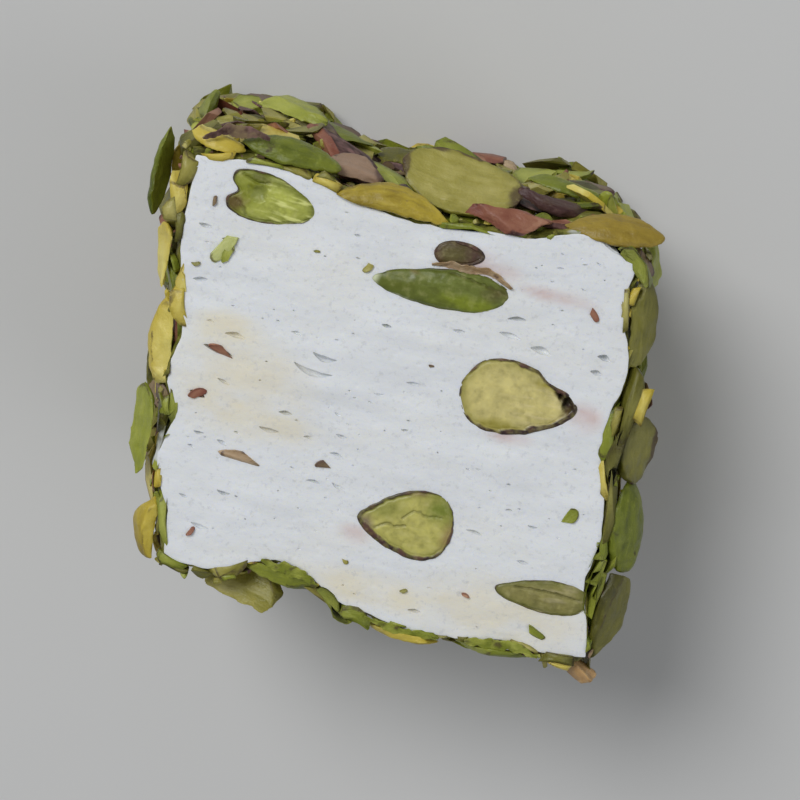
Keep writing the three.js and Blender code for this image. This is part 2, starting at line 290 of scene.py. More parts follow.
class Track:
    """The way round the sweet's sides, as run (distance round), lift (outwards) and height."""

    STEP = 0.25 * MM
    CORNER = 1.4 * MM

    def __init__(self, sides):
        line = np.vstack([catmull(sides[name], 80, False)[:-1] for name in SIDE_NAMES])
        closed = np.vstack([line, line[:1]])
        self.length = float(np.linalg.norm(np.diff(closed, axis=0), axis=1).sum())
        self.count = round(self.length / self.STEP)
        self.at = resample(closed, self.count, True)
        ahead = np.roll(self.at, -1, axis=0) - np.roll(self.at, 1, axis=0)
        out = np.column_stack([ahead[:, 1], -ahead[:, 0]])
        reach = round(self.CORNER / self.STEP)
        self.out = sum(np.roll(out, k, axis=0) for k in range(-reach, reach + 1))
        self.out /= np.linalg.norm(self.out, axis=1)[:, None]

    def look_up(self, table, run):
        place = np.asarray(run) / self.length * self.count
        low = np.floor(place).astype(int)
        share = (place - low)[..., None]
        return table[low % self.count] * (1 - share) + table[(low + 1) % self.count] * share

    def point(self, run, lift, height):
        """The point, or points, at a run, a lift and a height."""
        flat = self.look_up(self.at, run) + self.look_up(self.out, run) * np.asarray(lift)[..., None]
        height = np.broadcast_to(height, flat.shape[:-1])
        return np.concatenate([flat, height[..., None]], axis=-1)

    def axes(self, run):
        """The way along, the way up and the way out at a run, as rows."""
        out = self.look_up(self.out, run)
        out = out / np.linalg.norm(out)
        return np.array([[-out[1], out[0], 0], [0, 0, 1], [out[0], out[1], 0]])

    def nearest(self, points):
        """The run and lift of the track's nearest stop to each point."""
        points = np.atleast_2d(points)[:, :2]
        index = np.concatenate(
            [
                np.argmin(((part[:, None] - self.at) ** 2).sum(axis=2), axis=1)
                for part in np.array_split(points, 1 + len(points) // 4000)
            ]
        )
        lift = ((points - self.at[index]) * self.out[index]).sum(axis=1)
        return index * self.STEP, lift


SIDES = read_sides()
TRACK = Track(SIDES)


# ------------------------------------------------------------------ material helpers


class Graph:
    """A material's node graph, written as calls that return sockets."""

    def __init__(self, name):
        self.material = bpy.data.materials.new(name)
        self.material.use_nodes = True
        self.tree = self.material.node_tree
        self.shader = self.tree.nodes["Principled BSDF"]
        self.here = self.node("ShaderNodeTexCoord").outputs["Object"]

    def node(self, kind, inputs=None, **settings):
        node = self.tree.nodes.new(kind)
        for key, value in settings.items():
            setattr(node, key, value)
        for key, value in (inputs or {}).items():
            self.feed(node.inputs[key], value)
        return node

    def feed(self, socket, value):
        if isinstance(value, bpy.types.NodeSocket):
            self.tree.links.new(value, socket)
        else:
            socket.default_value = value

    def attribute(self, name, vector=False):
        node = self.node("ShaderNodeAttribute", attribute_name=name)
        return node.outputs["Vector" if vector else "Fac"]

    def stretched(self, source, scale):
        return self.node(
            "ShaderNodeMapping", {"Vector": source, "Scale": scale}, vector_type="POINT"
        ).outputs["Vector"]

    def noise(self, scale, source=None, detail=3.0, roughness=0.55):
        inputs = {
            "Vector": source or self.here, "Scale": scale, "Detail": detail, "Roughness": roughness,
        }
        return self.node("ShaderNodeTexNoise", inputs).outputs["Fac"]

    def cells(self, scale, source=None, feature="F1"):
        inputs = {"Vector": source or self.here, "Scale": scale}
        return self.node("ShaderNodeTexVoronoi", inputs, feature=feature).outputs["Distance"]

    def math(self, operation, a, b=0.0):
        return self.node("ShaderNodeMath", {0: a, 1: b}, operation=operation).outputs[0]

    def spread(self, value, low, high, to_low=0.0, to_high=1.0):
        """A value moved from one range into another, held inside it."""
        inputs = {"Value": value, "From Min": low, "From Max": high, "To Min": to_low, "To Max": to_high}
        return self.node("ShaderNodeMapRange", inputs).outputs["Result"]

    def mix(self, share, a, b, blend="MIX"):
        node = self.node("ShaderNodeMix", data_type="RGBA", blend_type=blend)
        for socket, value in zip((node.inputs[0], node.inputs[6], node.inputs[7]), (share, a, b)):
            self.feed(socket, value)
        return node.outputs[2]

    def ramp(self, value, *stops):
        """A colour for each value, from stops of (place, colour)."""
        node = self.node("ShaderNodeValToRGB", {"Fac": value})
        elements = node.color_ramp.elements
        while len(elements) < len(stops):
            elements.new(0.5)
        for element, (place, colour) in zip(elements, stops):
            element.position = place
            element.color = colour
        return node.outputs["Color"]

    def bump(self, height, strength, distance, under=None):
        inputs = {"Height": height, "Strength": strength, "Distance": distance}
        if under:
            inputs["Normal"] = under
        return self.node("ShaderNodeBump", inputs).outputs["Normal"]

    def finish(self, colour, roughness, normal, glow=0.0, glow_depth=0.5 * MM, shine=0.5):
        """Connects the shader. glow is how far light spreads inside, up to glow_depth."""
        self.feed(self.shader.inputs["Base Color"], colour)
        self.feed(self.shader.inputs["Roughness"], roughness)
        self.feed(self.shader.inputs["Normal"], normal)
        self.shader.inputs["Specular IOR Level"].default_value = shine
        self.shader.inputs["Subsurface Weight"].default_value = glow
        self.shader.inputs["Subsurface Scale"].default_value = glow_depth
        self.shader.inputs["Subsurface Radius"].default_value = (1.0, 0.9, 0.6)
        return self.material


def rgba(colour, gain=1.0):
    return (colour[0] * gain, colour[1] * gain, colour[2] * gain, 1.0)


def screen(red, green, blue):
    """A shader colour from red, green and blue as a screen shows them, from 0 to 255."""
    return (screen_to_linear(red), screen_to_linear(green), screen_to_linear(blue), 1.0)


# ------------------------------------------------------------------ the kernels

# How each kernel looks where it is cut. Places are shares of its own box, from -1 to 1.
# core and rim: flesh in the middle and next to the skin. skin: width of the skin against the usual one,
# and dark: the side, in degrees, where it is thickest. dome: how far its middle stands up, in mm.
# cracks: splits, each with its places; their grooves are painted dark as painted shade. hollows: x, y, two
# radii, and depth in mm; each is painted darker as painted shade, and nearly black where deeper than 0.5 mm.
# strands: how strongly the flesh is streaked along its length. blots: x, y, two radii and colour.
KERNEL_LOOKS = {
    "kernel_upper_corner": {
        "core": (178, 184, 84), "rim": (92, 100, 18), "skin": 0.45, "dark": 185, "dome": 0.1,
        "cracks": (((-0.75, 0.75), (-0.45, 0.55), (-0.15, 0.62)), ((-0.8, -0.3), (-0.62, -0.5), (-0.5, -0.8))),
        "hollows": ((-0.36, 0.15, 0.24, 0.42, 0.32),), "strands": 0.9,
        "blots": ((-0.55, 0.25, 0.42, 0.8, (128, 134, 28)), (-0.35, 0.72, 0.4, 0.22, (88, 94, 12)),
                  (-0.82, -0.45, 0.3, 0.4, (92, 70, 30)), (-0.32, 0.1, 0.16, 0.3, (146, 152, 78))),
    },
    "kernel_upper_long": {
        "core": (106, 116, 42), "rim": (82, 92, 24), "skin": 0.12, "dark": 90, "dome": 0.5,
        "cracks": (((0.1, 0.75), (0.5, 0.62), (0.95, 0.35)),), "hollows": (), "strands": 0.35, "mottle": 0.35,
        "blots": ((-0.6, 0.1, 0.35, 0.9, (98, 106, 28)), (-0.42, 0.42, 0.1, 0.14, (112, 100, 48)),
                  (0.45, -0.45, 0.45, 0.42, (134, 146, 36)), (0.85, 0.35, 0.26, 0.42, (86, 76, 34)),
                  (-0.95, -0.36, 0.1, 0.55, (214, 220, 184)), (-0.62, -0.9, 0.26, 0.15, (196, 202, 168)),
                  (-0.83, 0.04, 0.06, 0.12, (66, 70, 40))),
    },
    "kernel_upper_husk": {
        "core": (94, 86, 44), "rim": (82, 62, 40), "skin": 0.7, "dark": 0, "dome": 0.15,
        "cracks": (), "hollows": (), "strands": 0.2,
        "blots": ((0.7, -0.1, 0.5, 0.8, (84, 58, 52)), (-0.9, -0.4, 0.3, 0.5, (84, 60, 46))),
    },
    "kernel_upper_round": {
        "core": (206, 194, 124), "rim": (142, 136, 54), "skin": 1.4, "dark": -25, "dome": 0.02,
        "cracks": (((0.52, 0.5), (0.66, 0.38), (0.8, 0.24), (0.93, 0.05)),),
        "hollows": ((0.82, 0.16, 0.1, 0.24, 0.7), (0.66, 0.37, 0.06, 0.14, 0.6)), "strands": 0.15,
        "blots": ((0.36, 0.56, 0.26, 0.16, (160, 148, 58)), (0.12, 0.9, 0.14, 0.1, (66, 40, 38)),
                  (-0.2, -0.8, 0.5, 0.2, (154, 144, 54)), (0.9, -0.1, 0.15, 0.4, (74, 48, 38)),
                  # These two nearly black blots sit at the round kernel's cavity and its split, as painted shade.
                  (0.62, 0.42, 0.08, 0.1, (52, 32, 26)), (0.74, 0.28, 0.09, 0.14, (44, 26, 22))),
    },
    "kernel_upper_pointed": {
        "core": (190, 184, 100), "rim": (118, 122, 36), "skin": 1.15, "dark": 222, "dome": 0.04,
        "cracks": (((-0.6, -0.34), (-0.38, -0.16), (-0.18, -0.18), (0.0, -0.1)),
                   ((-0.08, 0.1), (0.12, 0.36), (0.4, 0.3), (0.7, 0.36))),
        "hollows": (), "strands": 0.1,
        "blots": ((0.6, 0.58, 0.36, 0.4, (116, 128, 38)), (-0.45, 0.25, 0.4, 0.3, (150, 150, 72)),
                  (-0.86, -0.25, 0.2, 0.24, (130, 112, 94)), (0.05, 0.92, 0.3, 0.14, (134, 112, 72)),
                  (0.94, -0.2, 0.18, 0.5, (162, 142, 86))),
    },
    "kernel_upper_leaf": {
        "core": (140, 134, 76), "rim": (102, 104, 38), "skin": 0.2, "dark": 180, "dome": 0.16,
        "cracks": (((-0.6, 0.15), (0.1, 0.3), (0.8, 0.2)),), "hollows": (), "strands": 0.5,
    },
    "kernel_lower_teardrop": {
        "core": (150, 162, 62), "rim": (112, 124, 34), "skin": 0.5, "dark": 0, "dome": 0.0,
        "cracks": (((-0.8, 0.42), (-0.1, 0.36), (0.75, 0.5)), ((-0.6, -0.1), (0.0, 0.05), (0.8, 0.1))),
        "hollows": (), "strands": 0.2,
    },
    "kernel_lower_heart": {
        "core": (138, 142, 74), "rim": (96, 104, 38), "skin": 0.5, "dark": 80, "dome": 0.0,
        "cracks": (((-0.4, -0.7), (-0.1, -0.2), (0.3, 0.1)),), "hollows": ((0.1, -0.6, 0.2, 0.3, 0.3),),
        "strands": 0.2,
    },
    "kernel_lower_threeway": {
        "core": (164, 142, 54), "rim": (120, 104, 36), "skin": 2.2, "dark": 250, "dome": 0.0,
        "cracks": (((0.0, 0.8), (0.05, 0.1), (0.5, -0.4)),), "hollows": (), "strands": 0.2,
    },
    "kernel_lower_disc": {
        "core": (142, 156, 66), "rim": (100, 116, 34), "skin": 1.1, "dark": 80, "dome": 0.0,
        "cracks": (), "hollows": ((-0.1, 0.0, 0.3, 0.3, 0.1),), "strands": 0.1,
    },
    "kernel_lower_wedge": {
        "core": (214, 160, 62), "rim": (186, 132, 40), "skin": 0.8, "dark": 70, "dome": 0.0,
        "cracks": (((-0.5, 0.6), (-0.2, 0.1), (0.2, -0.5)),), "hollows": (), "strands": 0.3,
    },
}
KERNEL_STEPS = 128
KERNEL_RINGS = 64
FACE_SHARE = 0.75


def kernel_edge(name):
    """A kernel's outline in its cut face, its middle, and the height and outward sense of that face."""
    points = read_points(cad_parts[name].data)
    face, sense = (TOP, 1) if "upper" in name else (BASE, -1)
    rim = {tuple(np.round(p[:2], 6)) for p in points if abs(p[2] - face) < 1e-5}
    rim = np.array(list(rim))
    middle = (rim.min(axis=0) + rim.max(axis=0)) / 2
    order = np.argsort(np.arctan2(rim[:, 1] - middle[1], rim[:, 0] - middle[0]))
    return catmull(rim[order], KERNEL_STEPS, True), middle, face, sense


def uneven_edge(edge, middle, seed):
    """An outline with the small unevenness of a real kernel."""
    spot = np.column_stack([edge, np.zeros(len(edge))])
    rough = wrinkle(spot, 1.6 * MM, seed, 2) * 0.035 + wrinkle(spot, 0.5 * MM, seed + 5, 2) * 0.012
    return middle + (edge - middle) * (1 + rough)[:, None]


def distance_to_line(points, line):
    """How far flat points lie from a line through the given ones."""
    best = np.full(len(points), np.inf)
    for a, b in zip(line, line[1:]):
        share = np.clip(((points - a) @ (b - a)) / ((b - a) @ (b - a)), 0, 1)
        best = np.minimum(best, np.linalg.norm(points - (a + share[:, None] * (b - a)), axis=1))
    return best


def blend(paint, colour, share):
    """Paints a screen colour over others by a share for each point."""
    target = np.array(screen(*colour)[:3])
    return paint + (target - paint) * np.clip(share, 0, 1)[:, None]


def kernel_shape(name, seed, grown=0.0):
    """A kernel from a sphere pressed flat into the cut face: its object, its points and its paint."""
    look = KERNEL_LOOKS[name]
    edge, middle, face, sense = kernel_edge(name)
    edge = uneven_edge(edge, middle, seed)
    ball = start_piece(
        name, bpy.ops.mesh.primitive_uv_sphere_add,
        segments=KERNEL_STEPS, ring_count=KERNEL_RINGS, radius=1,
    )
    points = read_points(ball.data)
    turn = np.arctan2(points[:, 1], points[:, 0])
    fall = np.arccos(np.clip(points[:, 2], -1, 1)) / math.pi
    on_face = fall <= FACE_SHARE + 1e-4
    under = np.clip((fall - FACE_SHARE) / (1 - FACE_SHARE), 0, 1) * math.pi / 2
    share = np.where(on_face, 1 - (1 - np.minimum(fall / FACE_SHARE, 1)) ** 1.25, np.cos(under))

    angles = np.arctan2(edge[:, 1] - middle[1], edge[:, 0] - middle[0])
    walk = np.roll(edge, -int(np.argmin(angles)), axis=0)
    place = ((turn + math.pi) / (2 * math.pi) * KERNEL_STEPS) % KERNEL_STEPS
    low = np.floor(place).astype(int)
    part = (place - low)[:, None]
    rim = walk[low % KERNEL_STEPS] * (1 - part) + walk[(low + 1) % KERNEL_STEPS] * part
    reach = np.linalg.norm(rim - middle, axis=1)
    flat = middle + (rim - middle) * (share * (1 + grown / reach))[:, None]
    box = np.ptp(edge, axis=0) / 2

    spot = np.column_stack([flat, np.full(len(flat), seed * 0.05)])
    lumps = wrinkle(spot, 1.2 * MM, seed + 3, 3)
    fine = wrinkle(spot, 0.35 * MM, seed + 4, 2)
    inwards = (1 - share) * reach
    away = turn - math.radians(look["dark"])
    skin = bpy.context.scene.sweet_sizes.skin_width * look["skin"] * (1 + 0.75 * np.cos(away) + 0.8 * lumps)
    skin = np.maximum(skin, 0.02 * MM)
    mark = np.clip((skin - inwards) / (0.12 * MM) + 0.5, 0, 1)
    groove = np.exp(-(((inwards - skin - 0.1 * MM) / (0.1 * MM)) ** 2))
    dome = 1 - np.clip(share, 0, 1) ** 2

    relief = 0.05 * MM * lumps + 0.02 * MM * fine + 0.06 * MM * mark - 0.07 * MM * groove
    relief += look["dome"] * MM * dome - 0.1 * MM * np.exp(-inwards / (0.07 * MM))
    paint = np.tile(screen(*look["core"])[:3], (len(flat), 1))
    mottle = look.get("mottle", 1)
    paint *= (1 + mottle * (0.22 * lumps + 0.12 * fine))[:, None]
    paint = blend(paint, look["rim"], np.exp(-((inwards / (0.62 * MM)) ** 1.5)) * (0.9 + 0.3 * lumps))
    along, across = strand_axes(edge, middle, flat)
    strands = wrinkle(np.column_stack([along * 0.18, across, across * 0]), 0.28 * MM, seed + 7, 2)
    half = np.clip(along / np.abs(along).max() * 1.5 + 0.6, 0, 1)
    light = [min(255, round(value * more)) for value, more in zip(look["core"], (1.22, 1.2, 1.6))]
    paint = blend(paint, light, np.clip(strands * 2.2, 0, 1) * half * look["strands"])
    relief += 0.05 * MM * strands * half * look["strands"]
    for x, y, wide, tall, depth in look["hollows"]:
        away = np.hypot((flat[:, 0] - middle[0]) / box[0] - x, ((flat[:, 1] - middle[1]) / box[1] - y) * wide / tall)
        dip = 1 - np.clip(away / wide + 0.45 * lumps, 0, 1) ** 2
        relief -= depth * MM * dip
        # Painted shade in the hollow: the darker rim green, and nearly black where it is deeper than 0.5 mm.
        paint = blend(paint, look["rim"], 0.8 * dip + (depth > 0.5) * dip)
        paint = blend(paint, (30, 20, 14), 1.4 * dip * (depth > 0.5))
    for crack in look["cracks"]:
        line = catmull(middle + np.array(crack) * box, 24, False)
        gap = distance_to_line(flat + 0.08 * MM * fine[:, None], line)
        relief -= 0.15 * MM * np.exp(-((gap / (0.1 * MM)) ** 2))
        # Painted shade in the split: dark olive along its groove.
        paint = blend(paint, (70, 68, 26), 0.5 * np.exp(-((gap / (0.11 * MM)) ** 2)))
    paint = blend(paint, (50, 30, 30), mark * (0.85 + 0.5 * fine))
    paint = blend(paint, (108, 74, 62), mark * np.clip(lumps * 2 - 0.4, 0, 0.6))

    for x, y, wide, tall, colour in look.get("blots", ()):
        away = np.hypot((flat[:, 0] - middle[0]) / box[0] - x, ((flat[:, 1] - middle[1]) / box[1] - y) * wide / tall)
        paint = blend(paint, colour, 0.9 * np.clip(1.25 - away / wide + 0.5 * lumps, 0, 1) * (1 - mark))

    depth = abs(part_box(name)[1].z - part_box(name)[0].z)
    height = face + sense * np.where(on_face, relief - 0.04 * MM, -depth * np.sin(under))
    if sense < 0:
        height = np.maximum(height, face)
    return ball, np.column_stack([flat, height]), np.clip(paint, 0, 1)


def strand_axes(edge, middle, flat):
    """How far points lie along and across the direction in which an outline is longest."""
    offsets = edge - middle
    _, ways = np.linalg.eigh(offsets.T @ offsets)
    way = ways[:, 1] * np.sign(ways[0, 1])
    return (flat - middle) @ way, (flat - middle) @ np.array([-way[1], way[0]])


def kernel_material():
    graph = Graph("cut kernel")
    grain = graph.noise(1300, detail=4)
    paint = graph.attribute("paint", vector=True)
    colour = graph.mix(graph.spread(grain, 0.52, 0.75, 0, 0.22), paint, screen(222, 214, 150))
    colour = graph.mix(graph.spread(grain, 0.48, 0.3, 0, 0.25), colour, screen(70, 72, 26))
    normal = graph.bump(grain, 0.45, 0.07 * MM)
    return graph.finish(colour, graph.spread(grain, 0.3, 0.7, 0.34, 0.58), normal, 0.15, 0.4 * MM)


class SWEET_OT_kernels(Operator):
    """Cut kernels, each with its skin, its green rim and the splits in its flesh"""

    bl_idname = "sweet.kernels"
    bl_label = "Cut kernels"

    def execute(self, context):
        material = kernel_material()
        for seed, name in enumerate(KERNEL_LOOKS):
            ball, points, paint = kernel_shape(name, seed)
            ball.name = name + "_cut"
            write_points(ball.data, points)
            if "lower" in name:
                ball.data.flip_normals()
            set_attribute(ball.data, "paint", paint)
            finish_piece(ball, material, [name], crease=60)
        return {"FINISHED"}


# ------------------------------------------------------------------ the white sweet

# Air bubbles that show in the upper cut face, as x and y from the middle of the sweet's face, length and
# width, in millimetres. They were drawn out along +X when the bar was pulled.
LARGE_BUBBLES = (
    (-7.6, 1.6, 3.4, 0.6), (-6.9, 3.0, 2.1, 0.6), (-14.4, 3.2, 1.8, 0.5), (-9.9, -4.0, 1.8, 0.45),
    (-8.9, -2.2, 1.2, 0.4), (-13.4, -6.0, 1.0, 0.35), (-9.6, 4.6, 0.9, 0.3), (-15.5, 1.6, 2.6, 0.6),
    (7.6, 10.2, 1.6, 0.4), (10.2, 8.1, 1.8, 0.7), (15.4, 8.8, 1.2, 0.6), (15.1, 7.4, 1.1, 0.5),
    (7.4, 8.7, 1.9, 0.5), (3.3, 8.0, 1.1, 0.35), (8.9, -8.4, 1.5, 0.3), (13.5, -10.0, 1.0, 0.35),
    (-3.9, -3.1, 1.0, 0.35), (-2.6, 7.0, 0.9, 0.35), (-5.2, -7.4, 1.3, 0.3), (-13.6, -13.6, 1.6, 0.4),
    (-16.3, -2.4, 1.4, 0.6),
)
# Creamy patches of the upper cut face: x, y and two radii from the middle of its face, in millimetres.
CREAM_PATCHES = (
    (-13.0, -1.0, 5.5, 4.2), (-10.0, -3.5, 4.0, 1.6), (12.5, -15.0, 8.0, 3.0), (2.0, -15.5, 7.0, 1.6),
    (-15.0, 3.5, 3.0, 1.5),
)
# Stains beside kernels and flecks: x, y, two radii and how pink.
STAINS = (
    (15.1, 3.4, 1.6, 1.3), (9.4, 0.3, 2.0, 0.6), (3.0, 13.6, 2.6, 1.4), (-0.8, -11.0, 1.4, 0.8),
    (5.0, 13.6, 2.0, 0.8), (10.4, 12.8, 3.0, 0.6),
)
FACE_CUTS = 86
SIDE_WAVE = 0.15 * MM


def face_middle():
    """The middle of the sweet's four corners."""
    return np.mean([SIDES[name][0] for name in SIDE_NAMES], axis=0)


def blend_sides(across, up):
    """Points inside the outline, from two shares of -1 to 1, by blending the four sides."""
    u, v = (across + 1) / 2, (up + 1) / 2
    lines = {name: catmull(points, 200, False) for name, points in SIDES.items()}

    def along(name, share):
        stops = np.linspace(0, 1, 200)
        return np.column_stack([np.interp(share, stops, lines[name][:, axis]) for axis in (0, 1)])

    bottom, top = along("bottom", u), along("top", 1 - u)
    left, right = along("left", 1 - v), along("right", v)
    a, b, c, d = (SIDES[name][0] for name in SIDE_NAMES)
    u, v = u[:, None], v[:, None]
    corners = (1 - u) * (1 - v) * a + u * (1 - v) * b + u * v * c + (1 - u) * v * d
    return (1 - v) * bottom + v * top + (1 - u) * left + u * right - corners


def sweet_body():
    """The block itself: a cube cut up finely and pushed out to the outline."""
    sizes = bpy.context.scene.sweet_sizes
    body = start_piece("nougat_block", bpy.ops.mesh.primitive_cube_add, size=2)
    bpy.ops.object.mode_set(mode="EDIT")
    bpy.ops.mesh.select_all(action="SELECT")
    bpy.ops.mesh.subdivide(number_cuts=FACE_CUTS)
    bpy.ops.object.mode_set(mode="OBJECT")
    cube = read_points(body.data)
    flat = blend_sides(cube[:, 0], cube[:, 1])
    height = BASE + (cube[:, 2] + 1) / 2 * (TOP - BASE)
    points = np.column_stack([flat, height])
    border = 1 - np.abs(cube).max(axis=1)
    drawn = points * np.array([0.3, 1, 1])
    wave = 0.6 * wrinkle(points, 6 * MM, 1, 2) + 0.55 * wrinkle(drawn, 1.5 * MM, 2, 3)
    on_top = cube[:, 2] > 0.9999
    on_base = cube[:, 2] < -0.9999
    points[on_top, 2] += sizes.face_wave * (np.minimum(wave[on_top], 0.6) - 0.6)
    points[on_base, 2] += sizes.face_wave * np.maximum(0, wave[on_base] + 0.2)
    on_side = ~on_top & ~on_base & (border < 1e-4)
    middle = face_middle()
    inwards = middle - points[:, :2]
    inwards /= np.linalg.norm(inwards, axis=1)[:, None] + 1e-12
    points[on_side, :2] += inwards[on_side] * (SIDE_WAVE * (1 + wave[on_side]))[:, None]
    rim = (np.abs(cube[:, :2]).max(axis=1) > 0.9999)
    ragged = wrinkle(points, 1.5 * MM, 4, 3)
    points[rim, :2] += inwards[rim] * (0.16 * MM * (ragged[rim] + 0.6))[:, None]
    write_points(body.data, points)
    make_active(body)
    bevel = body.modifiers.new("worn edges", "BEVEL")
    bevel.width = sizes.edge_round
    bevel.segments = 3
    bevel.angle_limit = math.radians(50)
    bpy.ops.object.modifier_apply(modifier=bevel.name)
    return body


def bubble_places(sense):
    """Air bubbles of one face as x, y, length and width in metres, clear of kernels and each other."""
    sizes = bpy.context.scene.sweet_sizes
    chance = random.Random(40 + sense)
    middle = face_middle()
    taken = []
    word = "upper" if sense > 0 else "lower"
    for name in KERNEL_LOOKS:
        if word in name:
            low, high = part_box(name)
            taken.append(((low.x + high.x) / 2, (low.y + high.y) / 2, (high - low).xy.length / 2 + 0.4 * MM))
    places = []
    if sense > 0:
        for x, y, length, width in LARGE_BUBBLES:
            places.append((middle[0] + x * MM, middle[1] + y * MM, length * MM, width * MM))
            taken.append((*places[-1][:2], 0.6 * length * MM))
    shares = (0.25, 0.3, 0.35, 0.45, 0.6, 0.8, 1.1, 1.5 if sense > 0 else 2.4)
    while len(places) < sizes.bubble_count:
        x, y = blend_sides(np.array([chance.uniform(-0.93, 0.93)]), np.array([chance.uniform(-0.93, 0.93)]))[0]
        length = sizes.bubble_length * chance.choice(shares)
        if all(math.hypot(x - a, y - b) > r + 0.6 * length for a, b, r in taken):
            places.append((x, y, length, max(length * chance.uniform(0.2, 0.42), 0.14 * MM)))
            taken.append((x, y, 0.6 * length))
    return places


def bubble_cutters():
    """Lens-shaped solids, sunk in both cut faces, that leave the air bubbles."""
    lens = start_piece("bubbles", bpy.ops.mesh.primitive_uv_sphere_add, segments=14, ring_count=10, radius=1)
    shape = read_points(lens.data)[:, [2, 1, 0]]
    faces = faces_of(lens.data)
    all_points, all_faces = [], []
    for sense, face in ((1, TOP), (-1, BASE)):
        chance = random.Random(70 + sense)
        for x, y, length, width in bubble_places(sense):
            depth = min(width * chance.uniform(0.8, 1.5), 0.7 * MM)
            turn = math.radians(chance.gauss(-5, 9))
            bent = shape * np.array([length / 2, width / 2, depth])
            bent[:, 1] *= 1 - 0.45 * np.abs(shape[:, 0])
            bent[:, 1] += chance.uniform(-0.12, 0.12) * length * shape[:, 0] ** 2
            turned = bent @ np.array(Matrix.Rotation(-turn, 3, "Z"))
            turned[:, 2] -= sense * (0.1 * width + 0.1 * MM * (sense > 0))
            turned += (x, y, face)
            all_faces += [tuple(i + len(all_points) * len(shape) for i in f) for f in faces]
            all_points.append(turned)
    bpy.data.objects.remove(lens)
    cutters = piece_from("bubble_cutters", np.vstack(all_points), all_faces)
    make_active(cutters)
    bpy.ops.object.mode_set(mode="EDIT")
    bpy.ops.mesh.select_all(action="SELECT")
    bpy.ops.mesh.normals_make_consistent(inside=False)
    bpy.ops.object.mode_set(mode="OBJECT")
    return cutters


def pocket_cutters():
    """The kernels, grown by the pocket gap and raised past the cut face."""
    cutters = []
    gap = bpy.context.scene.sweet_sizes.pocket_gap
    for seed, name in enumerate(KERNEL_LOOKS):
        ball, points, _ = kernel_shape(name, seed, gap)
        sense = 1 if "upper" in name else -1
        face = TOP if sense > 0 else BASE
        past = (points[:, 2] - face) * sense > -1.2 * MM
        points[past, 2] = face + sense * 1.0 * MM
        write_points(ball.data, points)
        if sense < 0:
            ball.data.flip_normals()
        cutters.append(ball)
    return cutters


def carve(body, cutter):
    """Takes a cutter out of a body."""
    make_active(body)
    cut = body.modifiers.new("carve", "BOOLEAN")
    cut.operation = "DIFFERENCE"
    cut.solver = "MANIFOLD"
    cut.object = cutter
    bpy.ops.object.modifier_apply(modifier=cut.name)
    bpy.data.objects.remove(cutter)


def soft_spots(points, spots, seed):
    """How strongly each point lies in any of some soft-edged patches on the upper face."""
    middle = face_middle()
    total = np.zeros(len(points))
    cloud = 1 + 0.8 * wrinkle(points * np.array([0.5, 1, 1]), 1.6 * MM, seed, 4)
    for x, y, wide, tall in spots:
        away = np.hypot((points[:, 0] - middle[0] - x * MM) / wide, (points[:, 1] - middle[1] - y * MM) / tall)
        total = np.maximum(total, np.clip(1.3 - away / MM, 0, 1) * cloud)
    return np.clip(total, 0, 1)


def nougat_material():
    colours = bpy.context.scene.sweet_colours
    graph = Graph("white nougat")
    drawn = graph.stretched(graph.here, (0.4, 1.0, 1.0))
    cloud = graph.noise(150, drawn, 4)
    fine = graph.noise(1100, detail=5, roughness=0.65)
    cream = graph.math("ADD", graph.spread(cloud, 0.5, 0.75, 0, 0.3), graph.attribute("cream"))
    colour = graph.mix(graph.spread(cream, 0, 1, 0, 0.8), rgba(colours.white), rgba(colours.cream))
    grey = graph.spread(graph.noise(260, drawn, 6, 0.7), 0.42, 0.72, 0, 0.5)
    colour = graph.mix(grey, colour, screen(214, 217, 222))
    speck = graph.spread(graph.noise(1900, detail=3, roughness=0.7), 0.56, 0.7, 0, 0.35)
    colour = graph.mix(speck, colour, screen(186, 188, 192))
    colour = graph.mix(graph.attribute("stain"), colour, screen(206, 168, 160))
    normal = graph.bump(graph.noise(380, drawn, 3), 0.5, 0.25 * MM)
    normal = graph.bump(fine, 0.55, 0.1 * MM, normal)
    pits = graph.spread(graph.cells(1000), 0.05, 0.3)
    normal = graph.bump(pits, 0.4, 0.06 * MM, normal)
    return graph.finish(colour, graph.spread(fine, 0.35, 0.65, 0.45, 0.7), normal, 0.25, 0.8 * MM, 0.4)


class SWEET_OT_nougat(Operator):
    """The white block, with uneven knife-cut faces, air bubbles and a pocket for each kernel"""

    bl_idname = "sweet.nougat"
    bl_label = "White nougat"

    def execute(self, context):
        body = sweet_body()
        carve(body, bubble_cutters())
        for cutter in pocket_cutters():
            carve(body, cutter)
        points = read_points(body.data)
        near_top = points[:, 2] > TOP - 1.5 * MM
        set_attribute(body.data, "cream", soft_spots(points, CREAM_PATCHES, 21) * near_top)
        set_attribute(body.data, "stain", 0.55 * soft_spots(points, STAINS, 22) * near_top)
        finish_piece(body, nougat_material(), ["nougat"], crease=32)
        return {"FINISHED"}


# ------------------------------------------------------------------ slivers

